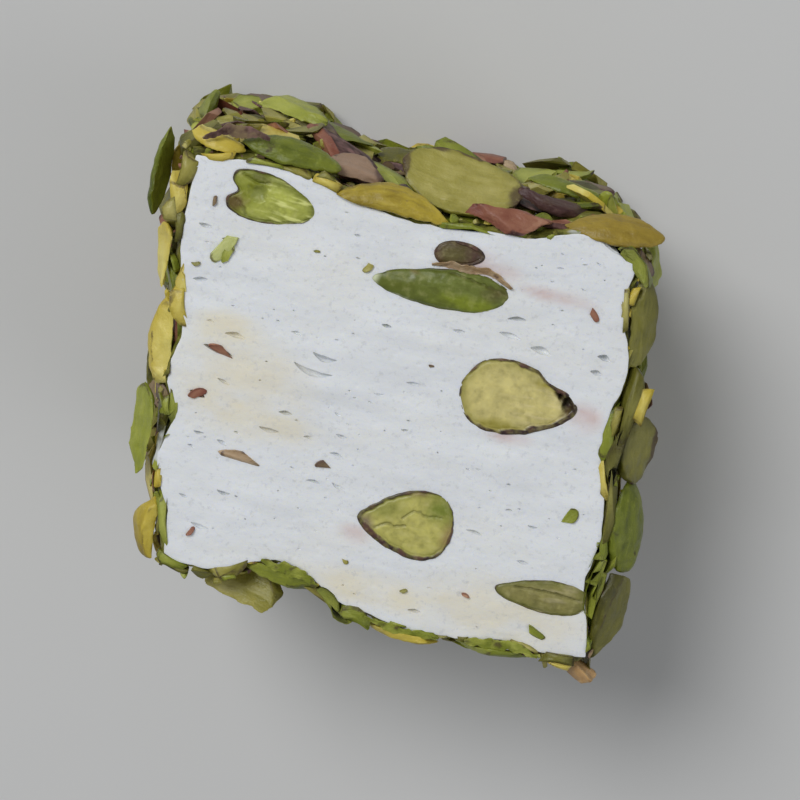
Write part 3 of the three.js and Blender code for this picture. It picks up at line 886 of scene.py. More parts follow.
# The kinds of sliver: their share of the coat, their thickness and size against the usual ones, how much
# of their outside is covered by dried skin, and their colours: the pale and the full colour of the cut
# flesh, then the full and the dark colour of the outside.
KINDS = {
    "green": {
        "share": 0.31, "thin": 1.0, "skin": 0.16,
        "tones": ((182, 186, 92), (143, 150, 50), (118, 127, 34), (71, 82, 14)),
    },
    "yellow": {
        "share": 0.13, "thin": 1.0, "skin": 0.08,
        "tones": ((224, 211, 124), (204, 185, 80), (190, 169, 58), (140, 120, 36)),
    },
    "olive": {
        "share": 0.21, "thin": 1.0, "skin": 0.3,
        "tones": ((154, 149, 78), (118, 115, 44), (91, 89, 27), (52, 49, 12)),
    },
    "pale": {
        "share": 0.18, "thin": 0.85, "skin": 0.28,
        "tones": ((194, 185, 114), (157, 149, 70), (129, 125, 46), (85, 81, 24)),
    },
    "purple": {
        "share": 0.1, "thin": 0.6, "small": 0.7, "skin": 1.0,
        "tones": ((150, 130, 98), (114, 96, 72), (102, 78, 78), (54, 38, 38)),
    },
    "red": {
        "share": 0.05, "thin": 0.7, "small": 0.7, "skin": 0.9,
        "tones": ((186, 146, 116), (146, 97, 76), (118, 65, 52), (80, 40, 34)),
    },
    "tan": {
        "share": 0.04, "thin": 0.5, "skin": 0.25, "slot": "pale_sliver",
        "tones": ((204, 178, 146), (176, 151, 119), (150, 122, 88), (106, 80, 56)),
    },
    "peach": {
        "share": 0.0, "thin": 0.5, "skin": 0.1, "slot": "red_sliver",
        "tones": ((218, 182, 132), (190, 152, 100), (164, 126, 76), (114, 84, 48)),
    },
    "lime": {
        "share": 0.0, "thin": 1.0, "skin": 0.0, "slot": "green_sliver",
        "tones": ((216, 220, 158), (196, 200, 130), (176, 182, 104), (140, 146, 76)),
    },
    "amber": {
        "share": 0.0, "thin": 1.0, "skin": 0.08, "slot": "yellow_sliver",
        "tones": ((190, 170, 92), (168, 147, 60), (156, 133, 46), (114, 94, 30)),
    },
    "mauve": {
        "share": 0.0, "thin": 0.6, "skin": 0.0, "slot": "purple_sliver",
        "tones": ((182, 154, 132), (154, 127, 104), (136, 109, 84), (92, 68, 54)),
    },
}


COAT_KINDS = ("green", "yellow", "olive", "pale", "purple", "red")


def sliver_material(kind):
    """Pistachio of one kind: fresh flesh where it is cut, and its skin outside."""
    look = KINDS[kind]
    colours = bpy.context.scene.sweet_colours
    flesh_pale, flesh, outer, outer_dark = (screen(*tone) for tone in look["tones"])
    graph = Graph(kind + " pistachio")
    place = graph.node("ShaderNodeSeparateXYZ", {"Vector": graph.attribute("grain", vector=True)})
    flow = graph.attribute("flow", vector=True)
    tint, cut, rim = (graph.attribute(name) for name in ("tint", "cut", "rim"))
    streak = graph.noise(1.6, graph.stretched(flow, (0.22, 1.0, 1.0)), 4)
    blotch = graph.noise(0.55, flow, 3)
    grit = graph.noise(5.0, flow, 4)
    level = graph.math("ADD", graph.math("MULTIPLY", streak, 0.45), graph.math("MULTIPLY", tint, 0.36))
    level = graph.math("ADD", level, graph.math("MULTIPLY", blotch, 0.35))
    lean = graph.math("MULTIPLY", place.outputs["X"], graph.math("SUBTRACT", tint, 0.5))
    level = graph.math("ADD", level, graph.math("MULTIPLY", lean, 0.35))
    fresh = graph.ramp(level, (0.3, outer), (0.5, flesh), (0.85, flesh_pale))
    fresh = graph.mix(graph.spread(rim, 0.3, 0.95, 0, 0.55), fresh, outer)
    outside = graph.ramp(level, (0.32, outer_dark), (0.58, outer), (0.9, flesh))
    colour = graph.mix(cut, outside, fresh)

    dry = graph.mix(graph.spread(blotch, 0.45, 0.62), rgba(colours.skin), rgba(colours.skin_pale))
    reach = 0.70 - 0.34 * look["skin"]
    patch = graph.spread(graph.noise(0.42, flow, 4), reach, reach + 0.05)
    patch = graph.math("MULTIPLY", patch, graph.math("SUBTRACT", 1.0, cut))
    colour = graph.mix(graph.math("MULTIPLY", patch, 0.85), colour, dry)
    # Patches from the dry attribute take the skin's colour: dried skin, and painted shade at the two ends of
    # sliver_top_5_pale.
    colour = graph.mix(graph.attribute("dry"), colour, rgba(colours.skin, 1.3))
    line = graph.math("ADD", rim, graph.math("MULTIPLY", graph.math("SUBTRACT", grit, 0.5), 0.3))
    line = graph.math("MULTIPLY", graph.spread(line, 0.82, 0.92), graph.spread(blotch, 0.45, 0.58, 0, 0.7))
    colour = graph.mix(graph.math("MULTIPLY", line, cut), colour, rgba(colours.skin))
    dust = graph.spread(graph.noise(2.6, flow, 5, 0.75), 0.57, 0.68, 0, 0.24)
    colour = graph.mix(dust, colour, flesh_pale)
    normal = graph.bump(streak, 0.6, 0.2 * MM)
    normal = graph.bump(grit, 0.5, 0.1 * MM, normal)
    dull = look["skin"] > 0.5
    rough = graph.math("ADD", graph.spread(streak, 0.3, 0.7, 0.34, 0.52), graph.math("MULTIPLY", patch, 0.2))
    return graph.finish(colour, rough, normal, 0.05 if dull else 0.25, 0.6 * MM, 0.3 if dull else 0.45)


# What chopping makes of a kernel. ends and sides: how many of them the knife took off. top: where it
# sliced off the outside, as a share of the half thickness. under: how deep the cut side lies under
# the middle. share: how common it is.
FORMS = {
    "boat": {"ends": 1, "sides": 1, "top": None, "under": 0.15, "share": 0.32},
    "wedge": {"ends": 1, "sides": 2, "top": None, "under": 0.1, "share": 0.24},
    "slab": {"ends": 2, "sides": 1, "top": 0.45, "under": 0.25, "share": 0.28},
    "chunk": {"ends": 2, "sides": 2, "top": 0.8, "under": 0.3, "share": 0.16},
    "half": {"ends": 0, "sides": 0, "top": None, "under": 0.12, "share": 0.0},
    "flake": {"ends": 2, "sides": 2, "top": 0.5, "under": 0.5, "share": 0.0},
    "fleck": {"ends": 1, "sides": 1, "top": 0.3, "under": 0.5, "share": 0.0},
}


def ball_along(around, along):
    """A ball with its poles at the two ends of X."""
    ball = start_piece(
        "sliver_form", bpy.ops.mesh.primitive_uv_sphere_add, segments=around, ring_count=along, radius=1
    )
    bpy.ops.transform.rotate(value=math.radians(90), orient_axis="Y", center_override=(0, 0, 0))
    bpy.ops.object.transform_apply(location=True, rotation=True, scale=True)
    return ball


def narrowing(x, ends):
    """How much a ball is drawn in at each x: zero leaves an end round, more makes it pointed."""
    power = ends[0] + (ends[1] - ends[0]) * (x + 1) / 2
    return np.maximum(1.02 - x**2, 0.02) ** power


def knife_cuts(shape, chance):
    """The planes that chopping leaves, each as its outward normal and its distance from the middle."""
    pick = chance.uniform
    cuts = [((pick(-0.08, 0.08), pick(-0.15, 0.15), -1), shape["under"])]
    for way in chance.sample((-1, 1), shape["ends"]):
        cuts.append(((way, pick(-0.8, 0.8), pick(-0.2, 0.5)), pick(0.45, 0.8)))
    for way in chance.sample((-1, 1), shape["sides"]):
        cuts.append(((pick(-0.3, 0.3), way, pick(0.1, 0.9)), pick(0.3, 0.6)))
    if shape["top"]:
        cuts.append(((pick(-0.1, 0.1), pick(-0.3, 0.3), 1), shape["top"]))
    return [(np.array(normal) / np.linalg.norm(normal), distance) for normal, distance in cuts]


def chop(piece, place, normal):
    """Cuts off all of a piece that lies past a plane, and closes the cut."""
    make_active(piece)
    bpy.ops.object.mode_set(mode="EDIT")
    bpy.ops.mesh.select_all(action="SELECT")
    bpy.ops.mesh.bisect(plane_co=place, plane_no=normal, use_fill=True, clear_outer=True, threshold=1e-7)
    bpy.ops.object.mode_set(mode="OBJECT")


def fan_out(piece, on_cut):
    """Gives each cut face a point in its middle. on_cut tells which points lie on a cut's plane."""
    mesh = piece.data
    make_active(piece)
    bpy.ops.object.mode_set(mode="EDIT")
    bpy.ops.mesh.select_mode(type="FACE")
    bpy.ops.mesh.select_all(action="DESELECT")
    bpy.ops.object.mode_set(mode="OBJECT")
    for face in mesh.polygons:
        face.select = any(plane[list(face.vertices)].all() for plane in on_cut)
    bpy.ops.object.mode_set(mode="EDIT")
    bpy.ops.mesh.poke()
    bpy.ops.object.mode_set(mode="OBJECT")


def cut_marks(mesh, planes_at):
    """Which faces lie on a cut, and which points lie where a cut meets the outside."""
    points = read_points(mesh)
    on_cut = planes_at(points)
    cut = np.zeros(len(mesh.polygons))
    touches = np.zeros((2, len(points)), bool)
    for face in mesh.polygons:
        corners = list(face.vertices)
        cut[face.index] = any(plane[corners].all() for plane in on_cut)
        touches[int(cut[face.index]), corners] = True
    return cut, (touches[0] & touches[1]).astype(float)


class Form:
    """A chopped piece inside a ball of radius 1: points, faces, cut (by face) and rim (by point)."""

    def __init__(self, around, along, kind, chance):
        piece = ball_along(around, along)
        points = read_points(piece.data)
        points[:, 1:] *= narrowing(points[:, 0], [chance.uniform(-0.15, 0.4) for _ in range(2)])[:, None]
        write_points(piece.data, points)
        cuts = knife_cuts(FORMS[kind], chance)
        for normal, distance in cuts:
            chop(piece, normal * distance, normal)

        def planes_at(points):
            return [np.abs(points @ normal - distance) < 1e-4 for normal, distance in cuts]

        fan_out(piece, planes_at(read_points(piece.data)))
        self.cut, self.rim = cut_marks(piece.data, planes_at)
        points = read_points(piece.data)
        self.faces = faces_of(piece.data)
        self.points = (points - (points.max(axis=0) + points.min(axis=0)) / 2) / (np.ptp(points, axis=0) / 2)
        bpy.data.objects.remove(piece)


def make_forms(around, along, seed, each=4, kinds=("boat", "wedge", "slab", "chunk")):
    """Some forms of each kind, all cut differently."""
    chance = random.Random(seed)
    return {kind: [Form(around, along, kind, chance) for _ in range(each)] for kind in kinds}


def choose_form(forms, chance):
    kinds = list(forms)
    kind = chance.choices(kinds, [FORMS[kind]["share"] or 1 for kind in kinds])[0]
    return chance.choice(forms[kind])


def bent(plain, size, chance, curl=None, wave=0.0):
    """Bends, twists and roughens a piece. plain holds its straight points, in metres."""
    length = size[0]
    x = plain[:, 0] / (length / 2)
    curl = chance.uniform(0.0, 0.06) if curl is None else curl
    bend = chance.uniform(-0.12, 0.12) * length
    twist = chance.uniform(-0.4, 0.4) * x
    across, through = plain[:, 1], plain[:, 2]
    out = np.column_stack(
        [
            plain[:, 0],
            across * np.cos(twist) - through * np.sin(twist) + bend * x * x,
            through * np.cos(twist) + across * np.sin(twist) - curl * length * (x * x - 0.4),
        ]
    )
    shift = Vector((chance.random() * 50, 0, 0))
    rough = np.array([noise.noise_vector(Vector(point) / (1.1 * MM) + shift) for point in out])
    out += rough * min(0.14 * size[2], 0.16 * MM)
    if wave:
        ripple = np.array([noise.noise(Vector((*point[:2], 0)) / (1.5 * MM) + shift) for point in out])
        out[:, 2] += wave * ripple
    if len(out) > 300:
        for scale, depth in ((0.5, 0.045), (0.25, 0.02)):
            fine = np.array([noise.noise_vector(Vector(point) / (scale * MM) + shift) for point in out])
            out += fine * depth * MM
    return out - (out.max(axis=0) + out.min(axis=0)) / 2


class Heap:
    """Many small solids of one kind, gathered into one mesh."""

    def __init__(self):
        self.points, self.faces = [], []
        self.marks = {"grain": [], "flow": [], "tint": [], "rim": [], "cut": []}
        self.total = 0

    def add(self, points, faces, plain, size, chance, cut, rim):
        """Adds one solid. Its grain is its straight form from -1 to 1, its flow the same in mm."""
        self.faces += [tuple(i + self.total for i in face) for face in faces]
        self.points.append(points)
        self.total += len(points)
        shift = np.array([chance.uniform(0, 90) for _ in range(3)])
        self.marks["grain"].append(plain)
        self.marks["flow"].append(plain * (np.array(size) / 2 / MM) + shift)
        self.marks["tint"].append(np.full(len(points), chance.random()))
        self.marks["rim"].append(rim)
        self.marks["cut"].append(cut)

    def finish(self, name, kind, crease=34):
        if not self.points:
            return None
        piece = piece_from(name, np.vstack(self.points), self.faces)
        for key, values in self.marks.items():
            set_attribute(piece.data, key, np.concatenate(values), "FACE" if key == "cut" else "POINT")
        return finish_piece(piece, sliver_material(kind), (), crease)


def solid_axes(name):
    """The middle, axes (along, across, out) and sizes of a sliver's CAD solid, from its own spread."""
    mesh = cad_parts[name].data
    points = read_points(mesh)
    mesh.calc_loop_triangles()
    corners = points[np.array([list(t.vertices) for t in mesh.loop_triangles])]
    areas = np.linalg.norm(np.cross(corners[:, 1] - corners[:, 0], corners[:, 2] - corners[:, 0]), axis=1)
    centres = corners.mean(axis=1)
    middle = (centres * areas[:, None]).sum(axis=0) / areas.sum()
    offsets = (centres - middle) * np.sqrt(areas)[:, None]
    _, ways = np.linalg.eigh(offsets.T @ offsets)
    along, out = ways[:, 2], ways[:, 0]
    side = TRACK.axes(TRACK.nearest(middle)[0][0])
    if out @ side[2] < 0:
        out = -out
    if along @ side[0] < 0:
        along = -along
    axes = np.array([along, np.cross(out, along), out])
    reach = (points - middle) @ axes.T
    middle = middle + ((reach.min(axis=0) + reach.max(axis=0)) / 2) @ axes
    return middle, axes, np.ptp(reach, axis=0)


def keep_off_sweet(points):
    """Pushes what would stand inside the sweet's outline back out to it."""
    run, lift = TRACK.nearest(points)
    short = np.maximum(-0.3 * MM - lift, 0)
    return points + np.column_stack([TRACK.look_up(TRACK.out, run) * short[:, None], short * 0])


def move_into_box(points):
    """Moves a piece that stands a little past the solids' box back into it."""
    low, high = np.array(CAD_BOX[0]) + 0.01 * MM, np.array(CAD_BOX[1]) - 0.01 * MM
    over = np.maximum(points.max(axis=0) - high, 0)
    under = np.maximum(low - points.min(axis=0), 0)
    return points - over + under


# Large slivers with a form of their own: form, how pointed the two ends are, how curled they are,
# whether their cut side shows, and patches in the skin's colour as x, y and two radii in shares of their own box.
# These patches are dried skin, except the two at the ends of sliver_top_5_pale, which are painted shade.
LARGE_LOOKS = {
    "sliver_top_1_yellow": ("half", (0.15, 0.5), 0.02, False, ()),
    "sliver_top_2_green": ("boat", (0.2, 0.2), 0.02, False, ()),
    "sliver_top_3_purple": ("slab", (0.3, 0.1), 0.05, False, ((0, 0, 2, 2),)),
    "sliver_top_4_red": ("slab", (0.1, 0.3), 0.03, False, ((0.9, 0.6, 0.35, 0.5),)),
    # Its two end patches are painted shade in the skin's colour; the two along its edge are its dark skin line.
    "sliver_top_5_pale": (
        "half", (-0.08, 0.05), 0.0, True,
        ((-0.98, -0.2, 0.2, 0.5), (1.0, -0.2, 0.14, 0.5), (0.0, 1.0, 0.5, 0.12), (0.6, 0.85, 0.3, 0.14)),
    ),
    "sliver_top_6_yellow": ("half", (0.45, 0.1), 0.03, False, ()),
    "sliver_top_7_purple": ("slab", (0.0, 0.2), 0.06, False, ((-1.0, 0.2, 0.35, 0.8),)),
    "sliver_top_8_green": ("half", (0.1, 0.25), 0.03, False, ()),
    "sliver_top_9_yellow": ("boat", (0.3, 0.3), 0.04, False, ()),
    "sliver_left_1_green": ("half", (0.15, 0.15), 0.05, False, ()),
    "sliver_left_4_green": ("wedge", (0.2, 0.3), 0.03, True, ()),
    "sliver_bottom_1_green": ("wedge", (0.3, 0.3), 0.03, False, ()),
    "sliver_bottom_2_yellow": ("slab", (0.2, 0.4), 0.03, True, ()),
    "sliver_right_1_olive": ("slab", (0.1, 0.3), 0.03, False, ()),
    "sliver_right_2_green": ("half", (0.0, 0.2), 0.03, False, ()),
    "sliver_right_3_pale": ("half", (0.0, 0.1), 0.0, True, ((0, 1.0, 1.2, 0.3),)),
}
# Large slivers whose colours are not those of their own kind.
LARGE_TONES = {
    "sliver_top_1_yellow": "amber",
    "sliver_top_7_purple": "mauve",
    "sliver_right_3_pale": "olive",
    "sliver_bottom_5_red": "peach",
    "sliver_bottom_2_yellow": "pale",
}
LARGE_GRAIN = 0.16 * MM


def large_form(size, kind, ends, chance):
    """One large piece, chopped and then meshed evenly: object, straight points, cut and rim."""
    shape = FORMS[kind]
    piece = ball_along(48, 28)
    cuts = knife_cuts(shape, chance)
    half = np.array([size[0] / 2, size[1] / 2, size[2] / (shape["under"] + (shape["top"] or 1))])
    points = read_points(piece.data)
    points[:, 1:] *= narrowing(points[:, 0], ends)[:, None]
    write_points(piece.data, points * half)
    planes = []
    for normal, distance in cuts:
        place, way = normal * distance * half, normal / half
        way /= np.linalg.norm(way)
        planes.append((place, way))
        chop(piece, place, way)
    make_active(piece)
    mesher = piece.modifiers.new("even mesh", "REMESH")
    mesher.mode = "VOXEL"
    mesher.voxel_size = LARGE_GRAIN
    bpy.ops.object.modifier_apply(modifier=mesher.name)

    points = read_points(piece.data)
    depths = np.array([(points - place) @ way for place, way in planes])
    cut = np.clip((depths.max(axis=0) + 0.08 * MM) / (0.05 * MM), 0, 1)
    x, y, z = (points / half).T
    narrow = narrowing(np.clip(x, -1, 1), ends)
    inside = (1 - np.sqrt(x**2 + (y / narrow) ** 2 + (z / narrow) ** 2)) * half[1]
    from_edge = np.where(cut > 0.5, np.maximum(inside, 0), np.abs(depths).min(axis=0))
    between_cuts = (depths > -0.3 * MM).sum(axis=0) > 1
    return piece, points, cut, np.where(between_cuts, 0, np.clip(1 - from_edge / MM, 0, 1))


class SWEET_OT_large_slivers(Operator):
    """The largest slivers and kernel halves of the coat, one piece each"""

    bl_idname = "sweet.large_slivers"
    bl_label = "Large slivers"

    def execute(self, context):
        materials = {kind: sliver_material(kind) for kind in KINDS}
        usual = ("boat", "wedge", "slab")
        for seed, name in enumerate(sorted(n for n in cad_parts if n.startswith("sliver_"))):
            kind = name.rsplit("_", 1)[1]
            chance = random.Random(seed + 500)
            ends = [chance.uniform(-0.1, 0.35) for _ in range(2)]
            plain_look = (chance.choice(usual), ends, None, chance.random() < 0.35, ())
            form, ends, curl, flip, skin_and_shade_patches = LARGE_LOOKS.get(name, plain_look)
            middle, axes, size = solid_axes(name)
            piece, plain, cut, rim = large_form(size, form, ends, chance)
            points = bent(plain, size, chance, curl) * ((1, -1, -1) if flip else (1, 1, 1))
            points *= size / np.ptp(points, axis=0)
            grain = (plain - (plain.max(axis=0) + plain.min(axis=0)) / 2) / (np.ptp(plain, axis=0) / 2)
            cloud = 0.25 * wrinkle(plain, 1.2 * MM, seed, 3)
            # dry paints patches in the skin's colour: dried skin on most slivers, painted shade at the two ends of
            # sliver_top_5_pale.
            dry = np.zeros(len(points))
            for x, y, wide, tall in skin_and_shade_patches:
                away = np.hypot((grain[:, 0] - x) / wide, (grain[:, 1] - y) / tall) + cloud
                dry = np.maximum(dry, np.clip((1.1 - away) * 2.5, 0, 0.75))
            write_points(piece.data, move_into_box(keep_off_sweet(points @ axes + middle)))
            piece.name = name + "_cut"
            shift = np.array([chance.uniform(0, 90) for _ in range(3)])
            marks = {"grain": grain, "flow": plain / MM + shift, "cut": cut, "rim": rim, "dry": dry}
            marks["tint"] = np.full(len(points), chance.random())
            for key, values in marks.items():
                set_attribute(piece.data, key, values)
            material = materials[LARGE_TONES.get(name, kind)]
            finish_piece(piece, material, [name], crease=40)
        return {"FINISHED"}


# Small pieces in the upper cut face: x, y, length and width in millimetres from the middle of the face,
# turn in degrees and kind.
FACE_FLECKS = (
    (-17.0, 10.0, 2.9, 1.2, 62, "lime"), (-16.6, 9.6, 1.6, 0.8, 75, "green"), (16.3, -5.1, 1.7, 1.3, 60, "green"),
    (-16.3, -2.4, 1.7, 0.9, 35, "red"), (-4.8, -5.8, 1.5, 0.8, 10, "purple"), (13.6, 12.0, 1.2, 0.7, -40, "red"),
    (-15.3, 1.6, 2.4, 0.9, -12, "red"), (16.2, -15.9, 1.9, 0.9, -20, "green"),
    (-18.6, 13.6, 0.9, 0.4, 80, "purple"), (-14.2, -14.2, 1.0, 0.5, 60, "red"),
    (-18.9, 8.2, 0.8, 0.4, 10, "olive"), (4.4, -14.9, 0.7, 0.4, 20, "olive"), (9.6, -14.0, 0.8, 0.3, -10, "red"),
    (-1.0, -13.6, 0.6, 0.4, 0, "pale"), (1.8, 4.6, 0.5, 0.3, 0, "purple"), (-9.6, 11.6, 0.6, 0.3, 30, "olive"),
    (-5.3, 11.3, 1.0, 0.6, 60, "pale"), (-11.4, -6.9, 4.4, 1.1, -4, "tan"),
)
# Papery skin that stands out of the upper cut face: its line as x and y from the middle of the face, its
# width and how high it stands, in millimetres, and its kind.
PAPERY_STRIPS = (
    (((-0.3, 12.85), (1.6, 13.25), (3.2, 13.25), (4.6, 13.35), (6.5, 12.5)), 0.6, 0.3, "tan"),
    (((-20.6, 18.3), (-19.2, 19.3), (-17.4, 19.7), (-15.4, 19.5)), 0.9, 0.3, "purple"),
    (((-7.9, -15.2), (-6.5, -15.4), (-5.3, -15.45), (-3.9, -15.85), (-2.8, -16.35)), 1.0, 0.2, "green"),
    (((1.7, -17.95), (3.7, -18.3), (5.7, -18.5), (8.2, -18.45)), 0.6, 0.15, "green"),
    (((10.5, -18.0), (12.3, -17.8), (13.9, -17.6), (15.4, -17.6), (16.9, -17.85)), 0.95, 0.2, "green"),
)


def papery_strip(name, line, width, rise, kind, seed):
    """A thin ragged strip of skin along a line on the upper cut face."""
    strip = start_piece(name, bpy.ops.mesh.primitive_grid_add, x_subdivisions=60, y_subdivisions=6, size=2)
    along, across, _ = read_points(strip.data).T
    path = catmull(face_middle() + np.array(line) * MM, 200, False)
    share = (along + 1) / 2
    ahead = np.gradient(path, axis=0)
    ahead /= np.linalg.norm(ahead, axis=1)[:, None]
    stops = np.linspace(0, 1, len(path))
    place, way = (
        np.column_stack([np.interp(share, stops, table[:, axis]) for axis in (0, 1)]) for table in (path, ahead)
    )
    ragged = wrinkle(np.column_stack([place, across * 0.4 * MM]), 0.9 * MM, seed, 3)
    reach = across * width / 2 * MM * np.sin(math.pi * np.clip(share, 0.02, 0.98)) ** 0.5 * (1 + 0.8 * ragged)
    flat = place + np.column_stack([-way[:, 1], way[:, 0]]) * reach[:, None]
    ripple = wrinkle(np.column_stack([place, share * 0]), 1.3 * MM, seed + 1, 2)
    height = TOP + MM * (0.02 + rise * np.clip(0.5 + 0.5 * across + 0.6 * ripple, 0, 1))
    points = np.column_stack([flat, height])
    write_points(strip.data, points)
    make_active(strip)
    wall = strip.modifiers.new("thickness", "SOLIDIFY")
    wall.thickness = 0.1 * MM
    bpy.ops.object.modifier_apply(modifier=wall.name)
    points = read_points(strip.data)
    set_attribute(strip.data, "flow", points / MM)
    set_attribute(strip.data, "tint", np.full(len(points), 0.6))
    set_attribute(strip.data, "cut", np.clip(0.5 + 1.6 * wrinkle(points, 0.9 * MM, seed + 2, 3), 0, 1))
    set_attribute(strip.data, "dry", np.clip(2 * wrinkle(points, 0.7 * MM, seed + 3, 3) - 0.3, 0, 0.7))
    return finish_piece(strip, sliver_material(kind), (), 40)


class SWEET_OT_flecks(Operator):
    """Small bits of pistachio pressed into the upper cut face, and skin that stands out of it"""

    bl_idname = "sweet.flecks"
    bl_label = "Flecks in the cut face"

    def execute(self, context):
        forms = make_forms(12, 8, 71, 5, ("fleck",))
        heaps = {kind: Heap() for kind in KINDS}
        centre = face_middle()
        for seed, (x, y, length, width, turn, kind) in enumerate(FACE_FLECKS):
            chance = random.Random(seed + 900)
            form = choose_form(forms, chance)
            size = np.array((length * MM, width * MM, 0.6 * MM))
            points = bent(form.points * size / 2, size, chance, 0.0)
            spin = Matrix.Rotation(math.radians(turn), 3, "Z")
            points = points @ np.array(spin).T + (centre[0] + x * MM, centre[1] + y * MM, TOP - 0.2 * MM)
            fresh = np.ones(len(form.faces))
            heaps[kind].add(points, form.faces, form.points, size, chance, fresh, form.rim)
        for kind, heap in heaps.items():
            heap.finish(kind + "_flecks", kind)
        for seed, strip in enumerate(PAPERY_STRIPS):
            papery_strip(f"papery_strip_{seed + 1}", *strip, seed)
        return {"FINISHED"}


# ------------------------------------------------------------------ the coat


class Relief:
    """How high the coat stands, over a grid of run and height, while pieces are laid on it."""

    STEP = TRACK.STEP
    BIN = 4

    def __init__(self, start, overhang):
        self.rows = round((TOP - BASE) / self.STEP)
        self.surface = np.full((TRACK.count, self.rows), start)
        self.roof = self.solid_roof() + overhang
        self.ceiling = self.roof.copy()

    def cells_of(self, mesh):
        """The grid's cells that a solid's surface passes, with how far it stands off the sweet there."""
        points = read_points(mesh)
        mesh.calc_loop_triangles()
        corners = points[np.array([list(t.vertices) for t in mesh.loop_triangles])]
        steps = np.linspace(0, 1, 9)
        weights = np.array([(a, b, 1 - a - b) for a in steps for b in steps if a + b <= 1.0001])
        spots = np.einsum("wk,tkx->twx", weights, corners).reshape(-1, 3)
        run, lift = TRACK.nearest(spots)
        rows = np.clip(((spots[:, 2] - BASE) / self.STEP).astype(int), 0, self.rows - 1)
        return (run / self.STEP).round().astype(int) % TRACK.count, rows, lift

    def solid_roof(self):
        """How far the coat's own solid stands off the sweet, over the grid."""
        columns, rows, lift = self.cells_of(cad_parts["coat"].data)
        wide, tall = TRACK.count // self.BIN + 1, self.rows // self.BIN + 1
        roof = np.zeros((wide, tall))
        np.maximum.at(roof, (columns // self.BIN, rows // self.BIN), lift)
        near = [np.roll(roof, shift, axis=0) for shift in (-1, 1)]
        near += [np.pad(roof, ((0, 0), (1, 0)), "edge")[:, :-1], np.pad(roof, ((0, 0), (0, 1)), "edge")[:, 1:]]
        roof = np.maximum(roof, np.mean(near, axis=0))
        fine = np.repeat(np.repeat(roof, self.BIN, axis=0), self.BIN, axis=1)
        return fine[: TRACK.count, : self.rows]

    def cells(self, run, height, turn, length, width):
        """The cells under a lens, with their places along and across it and how full it is there."""
        reach = int(math.hypot(length, width) / 2 / self.STEP) + 2
        column = round(run / self.STEP)
        row = round((height - BASE) / self.STEP)
        columns, rows = np.meshgrid(
            np.arange(column - reach, column + reach + 1), np.arange(row - reach, row + reach + 1), indexing="ij"
        )
        keep = (rows >= 0) & (rows < self.rows)
        columns, rows = columns[keep], rows[keep]
        x = columns * self.STEP - run
        y = BASE + rows * self.STEP - height
        along = (x * math.cos(turn) + y * math.sin(turn)) / (length / 2)
        across = (y * math.cos(turn) - x * math.sin(turn)) / (width / 2)
        full = 1 - along**2
        inside = (np.abs(along) < 1) & (np.abs(across) < np.sqrt(np.maximum(full, 0)))
        return columns[inside] % TRACK.count, rows[inside], along[inside], across[inside]

    def rest(self, run, height, turn, size, sink, tilt):
        """Lays a lens on the surface. Returns its lift and its two slopes, or None if it can't lie there."""
        length, width, thickness = size
        columns, rows, along, across = self.cells(run, height, turn, length, width)
        if len(columns) < 4:
            return None
        under = self.surface[columns, rows]
        a, b = along * length / 2, across * width / 2
        fit = np.linalg.lstsq(np.column_stack([a, b, np.ones(len(a))]), under, rcond=None)[0]
        slope_a = float(np.clip(fit[0] + tilt[0], -0.5, 0.5))
        slope_b = float(np.clip(fit[1] + tilt[1], -0.8, 0.8))
        base = float(np.percentile(under - slope_a * a - slope_b * b, 70)) - sink
        roof = base + slope_a * a + slope_b * b + thickness * (1 - 0.5 * across**2)
        if np.percentile(roof - self.ceiling[columns, rows], 85) > 0:
            return None
        return base + thickness / 2, slope_a, slope_b, (columns, rows, roof)

    def stands_out(self, points):
        """Whether a piece reaches well past the roof."""
        run, lift = TRACK.nearest(points)
        columns = (run / self.STEP).round().astype(int) % TRACK.count
        rows = np.clip(((points[:, 2] - BASE) / self.STEP).astype(int), 0, self.rows - 1)
        return bool((lift > self.roof[columns, rows] + 0.5 * MM).any())

    def lay(self, spot):
        columns, rows, roof = spot
        self.surface[columns, rows] = np.maximum(self.surface[columns, rows], roof)

    def keep_clear(self, name):
        """Keeps small pieces under a large sliver, and from between it and the upper cut face."""
        columns, rows, lift = self.cells_of(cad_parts[name].data)
        for column in np.unique(columns):
            mine = columns == column
            top, low = rows[mine].max(), rows[mine].min()
            inner = np.interp(np.arange(low, top + 1), *lowest_by(rows[mine], lift[mine]))
            if (self.rows - top) * self.STEP < 2 * MM:
                inner = np.concatenate([inner, np.full(self.rows - top - 1, inner[-1])])
            here = self.ceiling[column, low : low + len(inner)]
            self.ceiling[column, low : low + len(inner)] = np.minimum(here, inner - 0.1 * MM)


def lowest_by(places, values):
    """The places that occur, in order, and the lowest value at each."""
    found = np.unique(places)
    return found, np.array([values[places == place].min() for place in found])


def tilted(axes, turn, slope_a, slope_b):
    """A piece's axes after it is turned on the side and tilted to its slopes."""
    along, up, out = axes
    a = along * math.cos(turn) + up * math.sin(turn)
    b = up * math.cos(turn) - along * math.sin(turn)
    a = a + out * slope_a
    a /= np.linalg.norm(a)
    b = b + out * slope_b
    b -= a * (a @ b)
    b /= np.linalg.norm(b)
    return np.array([a, b, np.cross(a, b)])


def inside_box(points, axes=3):
    """Whether points stay in the box of the solids, along its first axes."""
    low, high = np.array(CAD_BOX[0])[:axes], np.array(CAD_BOX[1])[:axes]
    points = points[:, :axes]
    return bool((points >= low).all() and (points <= high).all())


def choose_kind(chance, kinds=tuple(KINDS)):
    return chance.choices(kinds, [KINDS[kind]["share"] for kind in kinds])[0]


